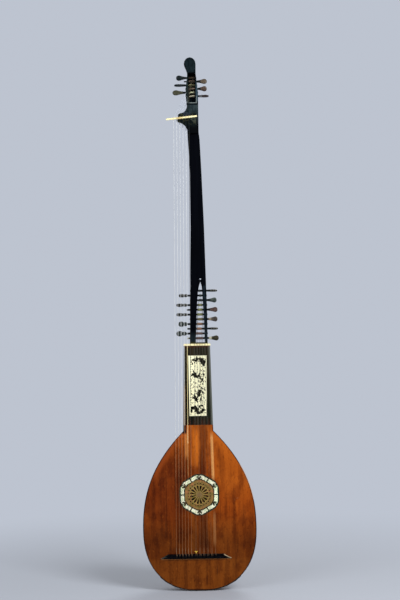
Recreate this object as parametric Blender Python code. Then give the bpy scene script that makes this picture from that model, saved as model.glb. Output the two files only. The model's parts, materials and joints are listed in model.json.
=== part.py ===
"""Archlute: a long-necked lute with a bowl of ribs, two pegboxes and seventeen strings.

Lengths are in metres. Heights (z) are counted from the tail of the bowl, where the ribs meet,
and the whole instrument hangs from an empty that brings its hanging place to the origin.
The soundboard's front lies in the plane y = 0 and faces -Y; the bass side is at -X.
"""

import math

import bmesh
import bpy
from mathutils import Vector

# Running and seating gaps
GAP = 0.0003  # between pieces that touch
TURN_GAP = 0.00045  # between neighbouring turns of a string on its peg

# Bowl and soundboard
BODY_LENGTH = 0.590  # tail to neck joint
BODY_WIDTH = 0.420
BOWL_DEPTH = 0.174
WIDEST_HEIGHT = 0.225
TAIL_POWER = 2.3  # roundness of the outline below the widest place
SHOULDER_POWER = 2.35  # and of the shoulders above it
RIB_COUNT = 11
RIB_THICKNESS = 0.0020
RIB_TAIL_RADIUS = 0.008  # the ribs stop this far from the tail's centre
SOUNDBOARD_THICKNESS = 0.0024
BINDING_WIDTH = 0.0014
BAR_WIDTH = 0.005
BAR_DEPTH = 0.015
BAR_UNDER_BRIDGE = 0.033  # the lowest bar lies this far below the bridge
BARS_OVER_ROSE = 3
NECK_BLOCK_LENGTH = 0.045
END_BLOCK_HEIGHT = 0.016
END_BLOCK_REACH = 0.5  # how far past the ribs' second station, as a share
CLASP_REACH = 0.150
CLASP_THICKNESS = 0.0030
CLASP_DEPTH = 0.034  # at its middle
CLASP_END_DEPTH = 0.014
CLASP_FLAT = 0.0023  # the flat underside lies this far below the tail

# Rose and its inlay: half distances between flats, and radii
ROSE_HEIGHT = 0.3535
SURROUND_FLAT = 0.0735
SURROUND_CORNER = 0.0772
ROSE_FLAT = 0.0520
ROSE_CORNER = 0.0575
ROSE_LEDGE = 0.004
TILE_MARGIN = 0.0023  # mastic between the rose and the tiles
TILE_WIDTH = 0.0140
INLAY_THICKNESS = 0.0010
MASTIC_SINK = 0.00025  # the tiles stand this much over the mastic
ROSE_RAYS = 16
ROSE_HUB = 0.0085
ROSE_STAR = 0.0350
ROSE_BORDER_HOLES = 24
ROSE_BORDER_RADIUS = 0.0405

# Bridge
BRIDGE_TOP = 0.135  # height of its edge toward the neck
BRIDGE_WIDTH = 0.017
BRIDGE_LENGTH = 0.263
BRIDGE_CENTRE = -0.0155
BRIDGE_POINT = 0.029  # length of each pointed end
BRIDGE_FRONT_RISE = 0.0095
BRIDGE_BACK_RISE = 0.0078
STRING_RISE = 0.0050  # of the string holes over the soundboard

# Neck, fingerboard and nut
NECK_LENGTH = 0.315  # neck joint to nut
NECK_JOINT_WIDTH = 0.111
NECK_NUT_WIDTH = 0.097
NECK_NUT_DEPTH = 0.028
HEEL_LENGTH = 0.095
TONGUE_LENGTH = 0.022  # the soundboard runs this far over the neck
PLATE_WIDTH = 0.070
PLATE_MARGIN = 0.033  # from the soundboard's tongue
PLATE_TOP_MARGIN = 0.036  # to the nut
PLATE_THICKNESS = 0.0010
NUT_WIDTH = 0.099
NUT_THICKNESS = 0.0075
NUT_RISE = 0.0032
MORTISE_WIDTH = 0.032
MORTISE_THICKNESS = 0.014
TENON_LENGTH = 0.022

# Head: depths are y values, heights start at the foot of the head
HEAD_FRONT = 0.006
PEGBOX_BACK = 0.034
SHAFT_BACK = 0.028
UPPER_PEGBOX_BACK = 0.032
HEAD_CHAMFER = 0.0018
FOOT_LEFT = -0.0257  # x of the head's edges, from the foot up
FOOT_RIGHT = 0.0400
SLOT_TOP_LEFT = -0.0203
SHAFT_LEFT = -0.0160
SHAFT_RIGHT = 0.0333  # half way up the shaft
SHAFT_TOP_RIGHT = 0.0270
NARROW_RIGHT = 0.0222  # just below the bracket, where the treble edge steps in
THROAT_LEFT = -0.0230
THROAT_RIGHT = 0.0190
PEGBOX_LEFT = -0.0276
PEGBOX_END_LEFT = -0.0205
PEGBOX_END_RIGHT = 0.0112
STRAIGHT_FOOT = 0.10  # the right edge stays upright so far above the foot
SHAFT_RISE = 0.50  # the left edge reaches the slim shaft here
SHAFT_DROP = 0.20  # which lasts to this far below the upper nut
STEP_DROP = 0.080  # the treble edge's step below the upper nut
STEP_LENGTH = 0.027
PEGBOX_SWELL = 0.034  # height of the widest place over the recess's lower end
SLOT_START = 0.0037
SLOT_LENGTH = 0.2255
SLOT_WIDTH = 0.0341
SLOT_OFFSET = 0.01325  # of its middle line at the foot
SLOT_LEAN = 0.00305  # toward the treble side on the way up
KEYHOLE_RADIUS = 0.0028  # round hole over the slot's pointed arch
KEYHOLE_RISE = 0.0098
PEG_AXIS_Y = 0.018
FIRST_PEG = 0.0196
PEG_SPACING = 0.0176
EXTENSION_LENGTH = 0.843  # nut to upper nut
THROAT_LENGTH = 0.0600  # upper nut to upper pegbox
RECESS_MARGIN = 0.0150  # from the last bass peg to the recess's end
RECESS_LEFT = -0.0174
RECESS_RIGHT = 0.0107
RECESS_FLOOR = 0.027
BASS_PEG_AXIS_Y = 0.017
FIRST_BASS_PEG = 0.0225  # from the recess's lower end
BASS_PEG_SPACING = 0.0136
FINIAL_LENGTH = 0.0600
FINIAL_LEFT = -0.0320
FINIAL_RIGHT = 0.0116
FINIAL_THICKNESS = 0.012
FINIAL_STEP = 0.003  # solid wood between the recess and the thinner finial

# Upper nut and its bracket
BRACKET_FRONT = -0.006
FILLET_FRONT = 0.0022  # the hollow over the ear lies lower, clear of the strings
UPPER_NUT_LENGTH = 0.1135
UPPER_NUT_CENTRE = -0.0435
UPPER_NUT_WIDTH = 0.0064
UPPER_NUT_RISE = 0.0076
UPPER_NUT_TILT = math.radians(5.4)

# Pegs: radii of the tapered shaft, and how far the small end stands out
PEG_THICK = 0.0042
PEG_THIN = 0.0032
BASS_PEG_THICK = 0.0030
BASS_PEG_THIN = 0.0024
PEG_SIDES = 10
GRIP_HALF = 0.0100  # half width of a flattened grip

# Strings
STRING_RADIUS = 0.0004
BASS_RADIUS = 0.0007
TURNS = 3
POINTS_PER_TURN = 8
FIRST_COURSE_BRIDGE = 0.057
COURSE_SPACING_BRIDGE = 0.0144
PAIR_SPACING_BRIDGE = 0.0044
FIRST_COURSE_NUT = 0.039
COURSE_SPACING_NUT = 0.0096
PAIR_SPACING_NUT = 0.0032
DIAPASON_BRIDGE = -0.032  # the innermost bass string at the bridge
DIAPASON_SPACING_BRIDGE = 0.0112
DIAPASON_NUT = -0.0157
DIAPASON_SPACING_NUT = 0.0114

# Worked out from the above
HALF_WIDTH = BODY_WIDTH / 2
DEPTH_RATIO = BOWL_DEPTH / HALF_WIDTH
SEAT_Y = SOUNDBOARD_THICKNESS + GAP  # plane of the ribs' edges and the neck's front
SHOULDER_REACH = (BODY_LENGTH - WIDEST_HEIGHT) / (
    1 - NECK_JOINT_WIDTH / BODY_WIDTH
) ** (1 / SHOULDER_POWER)
NUT_HEIGHT = BODY_LENGTH + NECK_LENGTH
NECK_TOP = NUT_HEIGHT + NUT_THICKNESS
HEAD_FOOT = NECK_TOP + GAP
UPPER_NUT_HEIGHT = NUT_HEIGHT + EXTENSION_LENGTH
SLOT_TOP = HEAD_FOOT + SLOT_START + SLOT_LENGTH
SHAFT_MIDDLE = (SLOT_TOP + UPPER_NUT_HEIGHT - SHAFT_DROP) / 2
RECESS_START = UPPER_NUT_HEIGHT + THROAT_LENGTH
FINGERBOARD_START = BODY_LENGTH + TONGUE_LENGTH
HANG_HEIGHT = UPPER_NUT_HEIGHT + THROAT_LENGTH * 0.57
PEG_COUNT = 11
BASS_PEG_COUNT = 6
LAST_BASS_PEG = FIRST_BASS_PEG + BASS_PEG_SPACING * (BASS_PEG_COUNT - 1)
RECESS_END = RECESS_START + LAST_BASS_PEG + RECESS_MARGIN


def smooth_between(value, stations):
    """Monotone smooth curve through (position, value) stations."""
    if value <= stations[0][0]:
        return stations[0][1]
    for (a, first), (b, second) in zip(stations, stations[1:]):
        if value <= b:
            share = (value - a) / (b - a)
            return first + (second - first) * share * share * (3 - 2 * share)
    return stations[-1][1]


def straight_between(value, stations):
    """Straight lines through (position, value) stations."""
    for (a, first), (b, second) in zip(stations, stations[1:]):
        if value <= b:
            return first + (second - first) * (value - a) / (b - a)
    return stations[-1][1]


# Scene, materials and mesh helpers


def clear_scene():
    for thing in list(bpy.data.objects):
        bpy.data.objects.remove(thing, do_unlink=True)


def make_material(name, colour, roughness, metallic=0.0):
    material = bpy.data.materials.new(name)
    material.use_nodes = True
    shader = material.node_tree.nodes["Principled BSDF"]
    shader.inputs["Base Color"].default_value = (*colour, 1.0)
    shader.inputs["Roughness"].default_value = roughness
    shader.inputs["Metallic"].default_value = metallic
    material.diffuse_color = (*colour, 1.0)
    return material


def add_object(name, data, material, hanger):
    """Links a new object under the hanging empty, with its own material."""
    thing = bpy.data.objects.new(name, data)
    bpy.context.collection.objects.link(thing)
    thing.parent = hanger
    if material:
        data.materials.append(material)
    return thing


def mesh_from_bmesh(name, bm, smooth_angle=None):
    bmesh.ops.recalc_face_normals(bm, faces=bm.faces)
    mesh = bpy.data.meshes.new(name)
    bm.to_mesh(mesh)
    bm.free()
    if smooth_angle:
        mesh.shade_smooth()
        mesh.set_sharp_from_angle(angle=math.radians(smooth_angle))
    return mesh


def loft_into(bm, rings):
    """Skins rings of equal count into bm and closes both ends."""
    rows = [[bm.verts.new(point) for point in ring] for ring in rings]
    count = len(rows[0])
    for low, high in zip(rows, rows[1:]):
        for i in range(count):
            j = (i + 1) % count
            bm.faces.new((low[i], low[j], high[j], high[i]))
    bm.faces.new(rows[0][::-1])
    bm.faces.new(rows[-1])


def loft_mesh(name, rings, smooth_angle=None):
    bm = bmesh.new()
    loft_into(bm, rings)
    return mesh_from_bmesh(name, bm, smooth_angle)


def plate_into(bm, outline, front, back):
    """Adds a flat plate with an outline in x and z, from y = front to y = back."""
    loft_into(bm, [[Vector((x, y, z)) for x, z in outline] for y in (front, back)])


def plate_mesh(name, outline, front, back):
    bm = bmesh.new()
    plate_into(bm, outline, front, back)
    return mesh_from_bmesh(name, bm)


def box_into(bm, low, high):
    x0, y0, z0 = low
    x1, y1, z1 = high
    plate_into(bm, [(x0, z0), (x1, z0), (x1, z1), (x0, z1)], y0, y1)


def boolean(thing, tool_mesh, operation, hanger):
    """Cuts or joins a hidden tool object, kept as a modifier."""
    tool = add_object(f"{thing.name}_{tool_mesh.name}", tool_mesh, None, hanger)
    tool.hide_render = True
    tool.display_type = "WIRE"
    modifier = thing.modifiers.new(tool_mesh.name, "BOOLEAN")
    modifier.operation = operation
    modifier.object = tool
    modifier.solver = "EXACT"


# Body: outline, ribs, blocks and clasp


def outline_point(share):
    """Half outline from the tail (0) over the widest place (1) to the neck joint (2)."""
    if share <= 1:
        angle = share * math.pi / 2
        x = HALF_WIDTH * math.sin(angle) ** (2 / TAIL_POWER)
        z = WIDEST_HEIGHT * (1 - max(math.cos(angle), 0) ** (2 / TAIL_POWER))
        return x, z
    z = WIDEST_HEIGHT + (share - 1) * (BODY_LENGTH - WIDEST_HEIGHT)
    return HALF_WIDTH * (1 - ((z - WIDEST_HEIGHT) / SHOULDER_REACH) ** SHOULDER_POWER), z


def outline_tangent(share):
    step = 1e-4
    low = outline_point(max(share - step, 1e-9))
    high = outline_point(min(share + step, 2))
    length = math.hypot(high[0] - low[0], high[1] - low[1])
    return (high[0] - low[0]) / length, (high[1] - low[1]) / length


def half_width_at(height):
    """Half width of the body's outline at a height."""
    if height <= WIDEST_HEIGHT:
        drop = (WIDEST_HEIGHT - height) / WIDEST_HEIGHT
        return HALF_WIDTH * (1 - drop**TAIL_POWER) ** (1 / TAIL_POWER)
    rise = (height - WIDEST_HEIGHT) / SHOULDER_REACH
    return HALF_WIDTH * (1 - rise**SHOULDER_POWER)


def bowl_point(share, angle, inward=0.0, sideways=0.0):
    """Point of the bowl at an outline share and an angle round the bowl from +X to -X."""
    width, z = outline_point(share)
    tx, tz = outline_tangent(share)
    c, s = math.cos(angle), math.sin(angle)
    point = Vector((width * c, SEAT_Y + DEPTH_RATIO * width * s, z))
    normal = Vector((c * tz, s / DEPTH_RATIO * tz, -tx)).normalized()
    along = Vector((-s, DEPTH_RATIO * c, 0)).normalized()
    return point - normal * inward + along * sideways


def rib_stations():
    """Outline shares of the ribs' cross-sections, from tail to neck."""
    start = math.asin((RIB_TAIL_RADIUS / HALF_WIDTH) ** (TAIL_POWER / 2)) * 2 / math.pi
    tail_steps, shoulder_steps = 8, 7
    shares = [start + (1 - start) * i / tail_steps for i in range(tail_steps)]
    return shares + [1 + i / shoulder_steps for i in range(shoulder_steps + 1)]


def make_ribs(material, hanger):
    for number in range(RIB_COUNT):
        low = math.pi * number / RIB_COUNT
        high = math.pi * (number + 1) / RIB_COUNT
        near = 0 if number == 0 else GAP / 2
        far = 0 if number == RIB_COUNT - 1 else -GAP / 2
        rings = [
            [
                bowl_point(share, low, 0, near),
                bowl_point(share, high, 0, far),
                bowl_point(share, high, RIB_THICKNESS, far),
                bowl_point(share, low, RIB_THICKNESS, near),
            ]
            for share in rib_stations()
        ]
        name = f"rib_{number + 1:02d}"
        add_object(name, loft_mesh(name, rings, 25), material, hanger)


def bowl_ring(share, inward):
    """Corners of the ribs' joints round one station, moved inward from the outer face."""
    return [bowl_point(share, math.pi * k / RIB_COUNT, inward) for k in range(RIB_COUNT + 1)]


def bowl_solid(name, outward):
    """The tail half of the bowl as a solid, open past the soundboard's plane."""
    rings = []
    for share in rib_stations():
        if share > 1:
            break
        ring = bowl_ring(share, -outward)
        front = [Vector((end.x, -0.01, end.z)) for end in (ring[-1], ring[0])]
        rings.append(ring + front)
    return loft_mesh(name, rings)


def make_end_clasp(material, hanger):
    """Strip over the ribs' ends that follows their flats, with a flat underside."""
    steps = 8
    edge = []
    for i in range(steps + 1):
        x = CLASP_REACH * math.sin((i / steps - 0.5) * math.pi)
        bow = math.cos(x / CLASP_REACH * math.pi / 2)
        edge.append((x, SEAT_Y + CLASP_END_DEPTH + (CLASP_DEPTH - CLASP_END_DEPTH) * bow))
    outline = [(CLASP_REACH, SEAT_Y), (-CLASP_REACH, SEAT_Y)] + edge
    rings = [[Vector((x, y, z)) for x, y in outline] for z in (-CLASP_FLAT, WIDEST_HEIGHT / 2)]
    clasp = add_object("end_clasp", loft_mesh("end_clasp", rings), material, hanger)
    outer = bowl_solid("outside", GAP + CLASP_THICKNESS)
    boolean(clasp, outer, "INTERSECT", hanger)
    boolean(clasp, bowl_solid("inside", GAP), "DIFFERENCE", hanger)


def ring_at_height(low, high, height):
    """Ring between two rings of joint corners, each corner taken at the given height."""
    return [
        p.lerp(q, (height - p.z) / (q.z - p.z)) for p, q in zip(low, high)
    ]


def make_end_block(material, hanger):
    inward = RIB_THICKNESS + GAP
    rings = [bowl_ring(share, inward) for share in rib_stations()[:3]]
    edge = [p.lerp(q, END_BLOCK_REACH) for p, q in zip(rings[1], rings[2])]
    top = [Vector((p.x, p.y, END_BLOCK_HEIGHT)) for p in edge]
    mesh = loft_mesh("end_block", rings[:2] + [edge, top])
    add_object("end_block", mesh, material, hanger)


def make_neck_block(material, hanger):
    """Block under the shoulders, cut to the flat ribs with a gap all round."""
    low, high = [bowl_ring(share, RIB_THICKNESS + GAP) for share in rib_stations()[-2:]]
    rings = [
        ring_at_height(low, high, z) for z in (BODY_LENGTH - NECK_BLOCK_LENGTH, BODY_LENGTH)
    ]
    add_object("neck_block", loft_mesh("neck_block", rings), material, hanger)


def inset_outline(inset, steps):
    """Right half of the body's outline from the tail to the neck joint, moved inward."""
    points = []
    for i in range(steps + 1):
        share = 2 * i / steps
        x, z = outline_point(share)
        tx, tz = outline_tangent(share)
        points.append((max(x - inset * tz, 0.0), z + inset * tx))
    points[0] = (0.0, inset)
    return points


def mirrored(half):
    """Closes a right half that starts on the middle line with its mirror image."""
    return half + [(-x, z) for x, z in reversed(half[1:])]


def make_binding(material, hanger):
    steps = 36
    outer = inset_outline(0.0, steps)
    inner = inset_outline(BINDING_WIDTH, steps)
    path_out = [(-x, z) for x, z in reversed(outer[1:])] + outer
    path_in = [(-x, z) for x, z in reversed(inner[1:])] + inner
    outline = path_out + path_in[::-1]
    bm = bmesh.new()
    fronts = [bm.verts.new((x, 0, z)) for x, z in outline]
    backs = [bm.verts.new((x, SOUNDBOARD_THICKNESS, z)) for x, z in outline]
    count = len(outline)
    for i in range(count):
        j = (i + 1) % count
        bm.faces.new((fronts[i], fronts[j], backs[j], backs[i]))
        if i < count // 2 - 1:
            other, last = count - 1 - i, count - 2 - i
            bm.faces.new((fronts[i], fronts[other], fronts[last], fronts[j]))
            bm.faces.new((backs[i], backs[j], backs[last], backs[other]))
    add_object("edge_binding", mesh_from_bmesh("edge_binding", bm), material, hanger)


# Soundboard, rose and inlay


def hexagon(flat, corner, points_per_side=6):
    """Six-sided outline with points up and down, its corners rounded to a radius."""
    outline = []
    count = 6 * points_per_side
    for i in range(count):
        angle = 2 * math.pi * i / count
        off_flat = (angle + math.pi / 6) % (math.pi / 3) - math.pi / 6
        radius = min(flat / math.cos(off_flat), corner)
        outline.append((radius * math.cos(angle), ROSE_HEIGHT + radius * math.sin(angle)))
    return outline


def bar_heights():
    """One bar below the bridge, two up to the rose, one across it and the rest above it."""
    rose_foot, rose_head = ROSE_HEIGHT - SURROUND_CORNER, ROSE_HEIGHT + SURROUND_CORNER
    below = [BRIDGE_TOP + (rose_foot - BRIDGE_TOP) * (i + 0.4) / 2 for i in range(2)]
    room = BODY_LENGTH - NECK_BLOCK_LENGTH - rose_head
    above = [rose_head + room * (i + 0.5) / BARS_OVER_ROSE for i in range(BARS_OVER_ROSE)]
    lowest = BRIDGE_TOP - BRIDGE_WIDTH - BAR_UNDER_BRIDGE
    return [lowest, *below, ROSE_HEIGHT, *above]


def make_soundboard(material, hanger):
    half = inset_outline(BINDING_WIDTH + GAP, 36)
    half += [
        (NECK_JOINT_WIDTH / 2 - BINDING_WIDTH - GAP, BODY_LENGTH + GAP),
        (neck_half_width(BODY_LENGTH), BODY_LENGTH + GAP),
        (neck_half_width(FINGERBOARD_START), FINGERBOARD_START - GAP),
    ]
    board = add_object(
        "soundboard",
        plate_mesh("soundboard", mirrored(half), 0, SOUNDBOARD_THICKNESS),
        material,
        hanger,
    )
    bars = bmesh.new()
    for height in bar_heights():
        reach = half_width_at(height) - 2.5 * RIB_THICKNESS - BAR_DEPTH * 0.25
        profile = [
            (-reach, SOUNDBOARD_THICKNESS - GAP),
            (reach, SOUNDBOARD_THICKNESS - GAP),
            (reach - 0.006, SOUNDBOARD_THICKNESS + BAR_DEPTH),
            (-reach + 0.006, SOUNDBOARD_THICKNESS + BAR_DEPTH),
        ]
        loft_into(
            bars,
            [
                [Vector((x, y, z)) for x, y in profile]
                for z in (height - BAR_WIDTH / 2, height + BAR_WIDTH / 2)
            ],
        )
    boolean(board, mesh_from_bmesh("bars", bars), "UNION", hanger)
    sunk = INLAY_THICKNESS + GAP
    recess = hexagon(SURROUND_FLAT + GAP, SURROUND_CORNER + GAP)
    boolean(board, plate_mesh("recess", recess, -0.01, sunk), "DIFFERENCE", hanger)
    ledge = hexagon(ROSE_FLAT - ROSE_LEDGE, ROSE_CORNER - ROSE_LEDGE)
    hole = plate_mesh("opening", ledge, -0.01, SOUNDBOARD_THICKNESS)
    boolean(board, hole, "DIFFERENCE", hanger)


def tile_outline(side, mirror):
    """One pale tile: half a side of the six-sided inlay, curled at the corner."""
    half = TILE_WIDTH / 2
    middle = ROSE_FLAT + TILE_MARGIN + half
    local = [
        (0.0022, -half),
        (0.0022, half),
        (0.0262, half),
        (0.0305, 0.0052),
        (0.0330, 0.0024),
        (0.0336, -0.0010),
        (0.0320, -0.0042),
        (0.0293, -0.0054),
        (0.0274, -0.0040),
        (0.0277, -0.0018),
        (0.0296, -0.0006),
        (0.0276, 0.0012),
        (0.0249, -0.0006),
        (0.0242, -0.0036),
        (0.0242, -half),
    ]
    angle = side * math.pi / 3
    points = []
    for along, out in local:
        along *= -1 if mirror else 1
        radial = middle + out
        x = radial * math.cos(angle) - along * math.sin(angle)
        z = radial * math.sin(angle) + along * math.cos(angle)
        points.append((x, ROSE_HEIGHT + z))
    return points


def make_surround(material, hanger):
    outer = hexagon(SURROUND_FLAT, SURROUND_CORNER)
    inner = hexagon(ROSE_FLAT + GAP, ROSE_CORNER + GAP)
    surround = add_object(
        "rose_surround",
        plate_mesh("rose_surround", outer, MASTIC_SINK, INLAY_THICKNESS),
        material,
        hanger,
    )
    boolean(surround, plate_mesh("middle", inner, -0.01, 0.01), "DIFFERENCE", hanger)
    tiles = bmesh.new()
    for side in range(6):
        for mirror in (False, True):
            plate_into(tiles, tile_outline(side, mirror), 0, INLAY_THICKNESS * 0.6)
    boolean(surround, mesh_from_bmesh("tiles", tiles), "UNION", hanger)


def rose_openings():
    """Outlines cut through the rose: a star of drops round the hub, and a border of leaves."""
    openings = []
    for i in range(ROSE_RAYS):
        turn = 2 * math.pi * (i + 0.5) / ROSE_RAYS
        spread = math.pi / ROSE_RAYS
        reach = ROSE_STAR - ROSE_HUB
        drop = [
            (ROSE_HUB, 0.0),
            (ROSE_HUB + reach * 0.35, -0.34),
            (ROSE_HUB + reach * 0.75, -0.62),
            (ROSE_HUB + reach * 0.93, -0.48),
            (ROSE_STAR, 0.0),
            (ROSE_HUB + reach * 0.93, 0.48),
            (ROSE_HUB + reach * 0.75, 0.62),
            (ROSE_HUB + reach * 0.35, 0.34),
        ]
        openings.append([(r, turn + spread * k) for r, k in drop])
    for i in range(ROSE_BORDER_HOLES):
        turn = 2 * math.pi * (i + 0.5) / ROSE_BORDER_HOLES
        spread = math.pi / ROSE_BORDER_HOLES
        leaf = [
            (ROSE_BORDER_RADIUS - 0.0028, 0.0),
            (ROSE_BORDER_RADIUS, -0.55),
            (ROSE_BORDER_RADIUS + 0.0040, 0.0),
            (ROSE_BORDER_RADIUS, 0.55),
        ]
        openings.append([(r, turn + spread * k) for r, k in leaf])
    return [
        [(r * math.cos(a), ROSE_HEIGHT + r * math.sin(a)) for r, a in opening]
        for opening in openings
    ]


def make_rose(material, hanger):
    curve = bpy.data.curves.new("rose", "CURVE")
    curve.dimensions = "2D"
    curve.fill_mode = "BOTH"
    curve.extrude = INLAY_THICKNESS / 2
    for outline in [hexagon(ROSE_FLAT, ROSE_CORNER)] + rose_openings():
        spline = curve.splines.new("POLY")
        spline.points.add(len(outline) - 1)
        for point, (x, z) in zip(spline.points, outline):
            point.co = (x, z, 0, 1)
        spline.use_cyclic_u = True
    rose = add_object("rose", curve, material, hanger)
    rose.rotation_euler.x = math.pi / 2
    rose.location.y = INLAY_THICKNESS / 2


# Bridge


def bridge_ring(x, share):
    """Cross-section of the bridge, drawn down to its lower edge toward the pointed ends."""
    low = BRIDGE_TOP - BRIDGE_WIDTH
    width = BRIDGE_WIDTH * share
    tall = 0.35 + 0.65 * share
    back, front = -BRIDGE_BACK_RISE * tall, -BRIDGE_FRONT_RISE * tall
    return [
        Vector((x, -GAP, low)),
        Vector((x, back * 0.85, low)),
        Vector((x, back, low + width * 0.1)),
        Vector((x, front, low + width * 0.68)),
        Vector((x, front, low + width * 0.93)),
        Vector((x, front * 0.85, low + width)),
        Vector((x, -GAP, low + width)),
    ]


def make_bridge(material, hanger, routes):
    low = BRIDGE_CENTRE - BRIDGE_LENGTH / 2
    high = BRIDGE_CENTRE + BRIDGE_LENGTH / 2
    ends = [(0.0, 0.10), (0.35, 0.36), (0.7, 0.72), (1.0, 1.0)]
    rings = [bridge_ring(low + BRIDGE_POINT * along, share) for along, share in ends]
    rings += [bridge_ring(high - BRIDGE_POINT * along, share) for along, share in ends[::-1]]
    bridge = add_object("bridge", loft_mesh("bridge", rings), material, hanger)
    holes = bmesh.new()
    for route in routes:
        radius = (route["radius"] + GAP) / math.cos(math.pi / 6)
        loft_into(
            holes,
            [
                [
                    Vector(
                        (
                            route["bridge_x"] + radius * math.cos(k * math.pi / 3),
                            -STRING_RISE + radius * math.sin(k * math.pi / 3),
                            z,
                        )
                    )
                    for k in range(6)
                ]
                for z in (BRIDGE_TOP - BRIDGE_WIDTH - 0.01, BRIDGE_TOP + 0.01)
            ],
        )
    boolean(bridge, mesh_from_bmesh("string_holes", holes), "DIFFERENCE", hanger)


# Neck, fingerboard, plate and nut


def neck_half_width(height):
    share = (height - BODY_LENGTH) / (NECK_TOP - BODY_LENGTH)
    return (NECK_JOINT_WIDTH + (NECK_NUT_WIDTH - NECK_JOINT_WIDTH) * share) / 2


def neck_ring(height):
    share = (height - BODY_LENGTH) / (NECK_TOP - BODY_LENGTH)
    heel = DEPTH_RATIO * NECK_JOINT_WIDTH / 2
    lean = NECK_NUT_DEPTH + 0.004 * (1 - share)
    swell = max(0.0, 1 - (height - BODY_LENGTH) / HEEL_LENGTH) ** 3
    depth = lean + (heel - NECK_NUT_DEPTH - 0.004) * swell
    width = neck_half_width(height)
    steps = 14
    return [
        Vector(
            (
                width * math.cos(math.pi * k / steps),
                SEAT_Y + depth * math.sin(math.pi * k / steps),
                height,
            )
        )
        for k in range(steps + 1)
    ]


def tenon_box(bm, slack):
    """The head's tenon, or with slack the mortise that takes it."""
    centre_x = (head_left(HEAD_FOOT) + head_right(HEAD_FOOT)) / 2
    centre_y = SEAT_Y + NECK_NUT_DEPTH / 2 - 0.001
    reach_x = MORTISE_WIDTH / 2 + slack
    reach_y = MORTISE_THICKNESS / 2 + slack
    box_into(
        bm,
        (centre_x - reach_x, centre_y - reach_y, NECK_TOP - TENON_LENGTH - slack),
        (centre_x + reach_x, centre_y + reach_y, HEAD_FOOT + 0.0015),
    )


def make_neck(material, hanger):
    heights = [BODY_LENGTH + GAP]
    heights += [BODY_LENGTH + GAP + HEEL_LENGTH * k for k in (0.1, 0.25, 0.45, 0.7, 1.0)]
    heights += [(BODY_LENGTH + HEEL_LENGTH + NECK_TOP) / 2, NECK_TOP]
    neck = add_object(
        "neck", loft_mesh("neck", [neck_ring(z) for z in heights], 35), material, hanger
    )
    mortise = bmesh.new()
    tenon_box(mortise, GAP)
    boolean(neck, mesh_from_bmesh("mortise", mortise), "DIFFERENCE", hanger)


def make_fingerboard(material, plate_material, hanger):
    low, high = FINGERBOARD_START, NUT_HEIGHT - GAP
    outline = [
        (-neck_half_width(low), low),
        (neck_half_width(low), low),
        (neck_half_width(high), high),
        (-neck_half_width(high), high),
    ]
    board = add_object(
        "fingerboard",
        plate_mesh("fingerboard", outline, 0, SOUNDBOARD_THICKNESS),
        material,
        hanger,
    )
    foot = FINGERBOARD_START + PLATE_MARGIN
    top = NUT_HEIGHT - PLATE_TOP_MARGIN
    bed = bmesh.new()
    box_into(
        bed,
        (-PLATE_WIDTH / 2 - GAP, -0.01, foot - GAP),
        (PLATE_WIDTH / 2 + GAP, PLATE_THICKNESS + GAP, top + GAP),
    )
    boolean(board, mesh_from_bmesh("plate_bed", bed), "DIFFERENCE", hanger)
    plate = bmesh.new()
    box_into(
        plate,
        (-PLATE_WIDTH / 2, 0, foot),
        (PLATE_WIDTH / 2, PLATE_THICKNESS, top),
    )
    add_object(
        "fingerboard_plate",
        mesh_from_bmesh("fingerboard_plate", plate),
        plate_material,
        hanger,
    )


def rounded_bar_profile(width, foot, crown):
    """Nut section in (y, z): square foot and a crown that falls away toward the pegs."""
    return [
        (foot, 0.0),
        (foot, width),
        (0.0, width),
        (crown * 0.55, width * 0.8),
        (crown, width * 0.5),
        (crown, width * 0.2),
        (crown * 0.75, 0.0),
    ]


def make_nut(material, hanger):
    profile = rounded_bar_profile(NUT_THICKNESS, SOUNDBOARD_THICKNESS, -NUT_RISE)
    rings = [
        [Vector((x, y, NUT_HEIGHT + z)) for y, z in profile]
        for x in (-NUT_WIDTH / 2, NUT_WIDTH / 2)
    ]
    add_object("nut", loft_mesh("nut", rings), material, hanger)


# Head: extension with both pegboxes, bracket and upper nut


def head_left(height):
    return smooth_between(
        height,
        [
            (HEAD_FOOT, FOOT_LEFT),
            (SLOT_TOP, SLOT_TOP_LEFT),
            (HEAD_FOOT + SHAFT_RISE, SHAFT_LEFT),
            (UPPER_NUT_HEIGHT - SHAFT_DROP, SHAFT_LEFT),
            (UPPER_NUT_HEIGHT - THROAT_LENGTH / 2, THROAT_LEFT),
            (RECESS_START - THROAT_LENGTH / 4, THROAT_LEFT),
            (RECESS_START + PEGBOX_SWELL, PEGBOX_LEFT),
            (RECESS_END, PEGBOX_END_LEFT),
        ],
    )


def head_right(height):
    return straight_between(
        height,
        [
            (HEAD_FOOT, FOOT_RIGHT),
            (HEAD_FOOT + STRAIGHT_FOOT, FOOT_RIGHT),
            (SHAFT_MIDDLE, SHAFT_RIGHT),
            (UPPER_NUT_HEIGHT - SHAFT_DROP, SHAFT_TOP_RIGHT),
            (UPPER_NUT_HEIGHT - STEP_DROP, NARROW_RIGHT),
            (UPPER_NUT_HEIGHT - STEP_DROP + STEP_LENGTH, THROAT_RIGHT),
            (RECESS_START + PEGBOX_SWELL, THROAT_RIGHT),
            (RECESS_END, PEGBOX_END_RIGHT),
        ],
    )


def head_back(height):
    slot_top = SLOT_TOP
    return smooth_between(
        height,
        [
            (HEAD_FOOT, SEAT_Y + NECK_NUT_DEPTH),
            (HEAD_FOOT + PEG_SPACING, PEGBOX_BACK),
            (slot_top - PEG_SPACING, PEGBOX_BACK),
            (slot_top + 3 * PEG_SPACING, SHAFT_BACK),
            (RECESS_START - THROAT_LENGTH / 2, SHAFT_BACK),
            (RECESS_START + FINIAL_STEP, UPPER_PEGBOX_BACK),
            (RECESS_END + FINIAL_STEP, UPPER_PEGBOX_BACK),
            (RECESS_END + FINIAL_STEP + FINIAL_THICKNESS, HEAD_FRONT + FINIAL_THICKNESS),
        ],
    )


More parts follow.
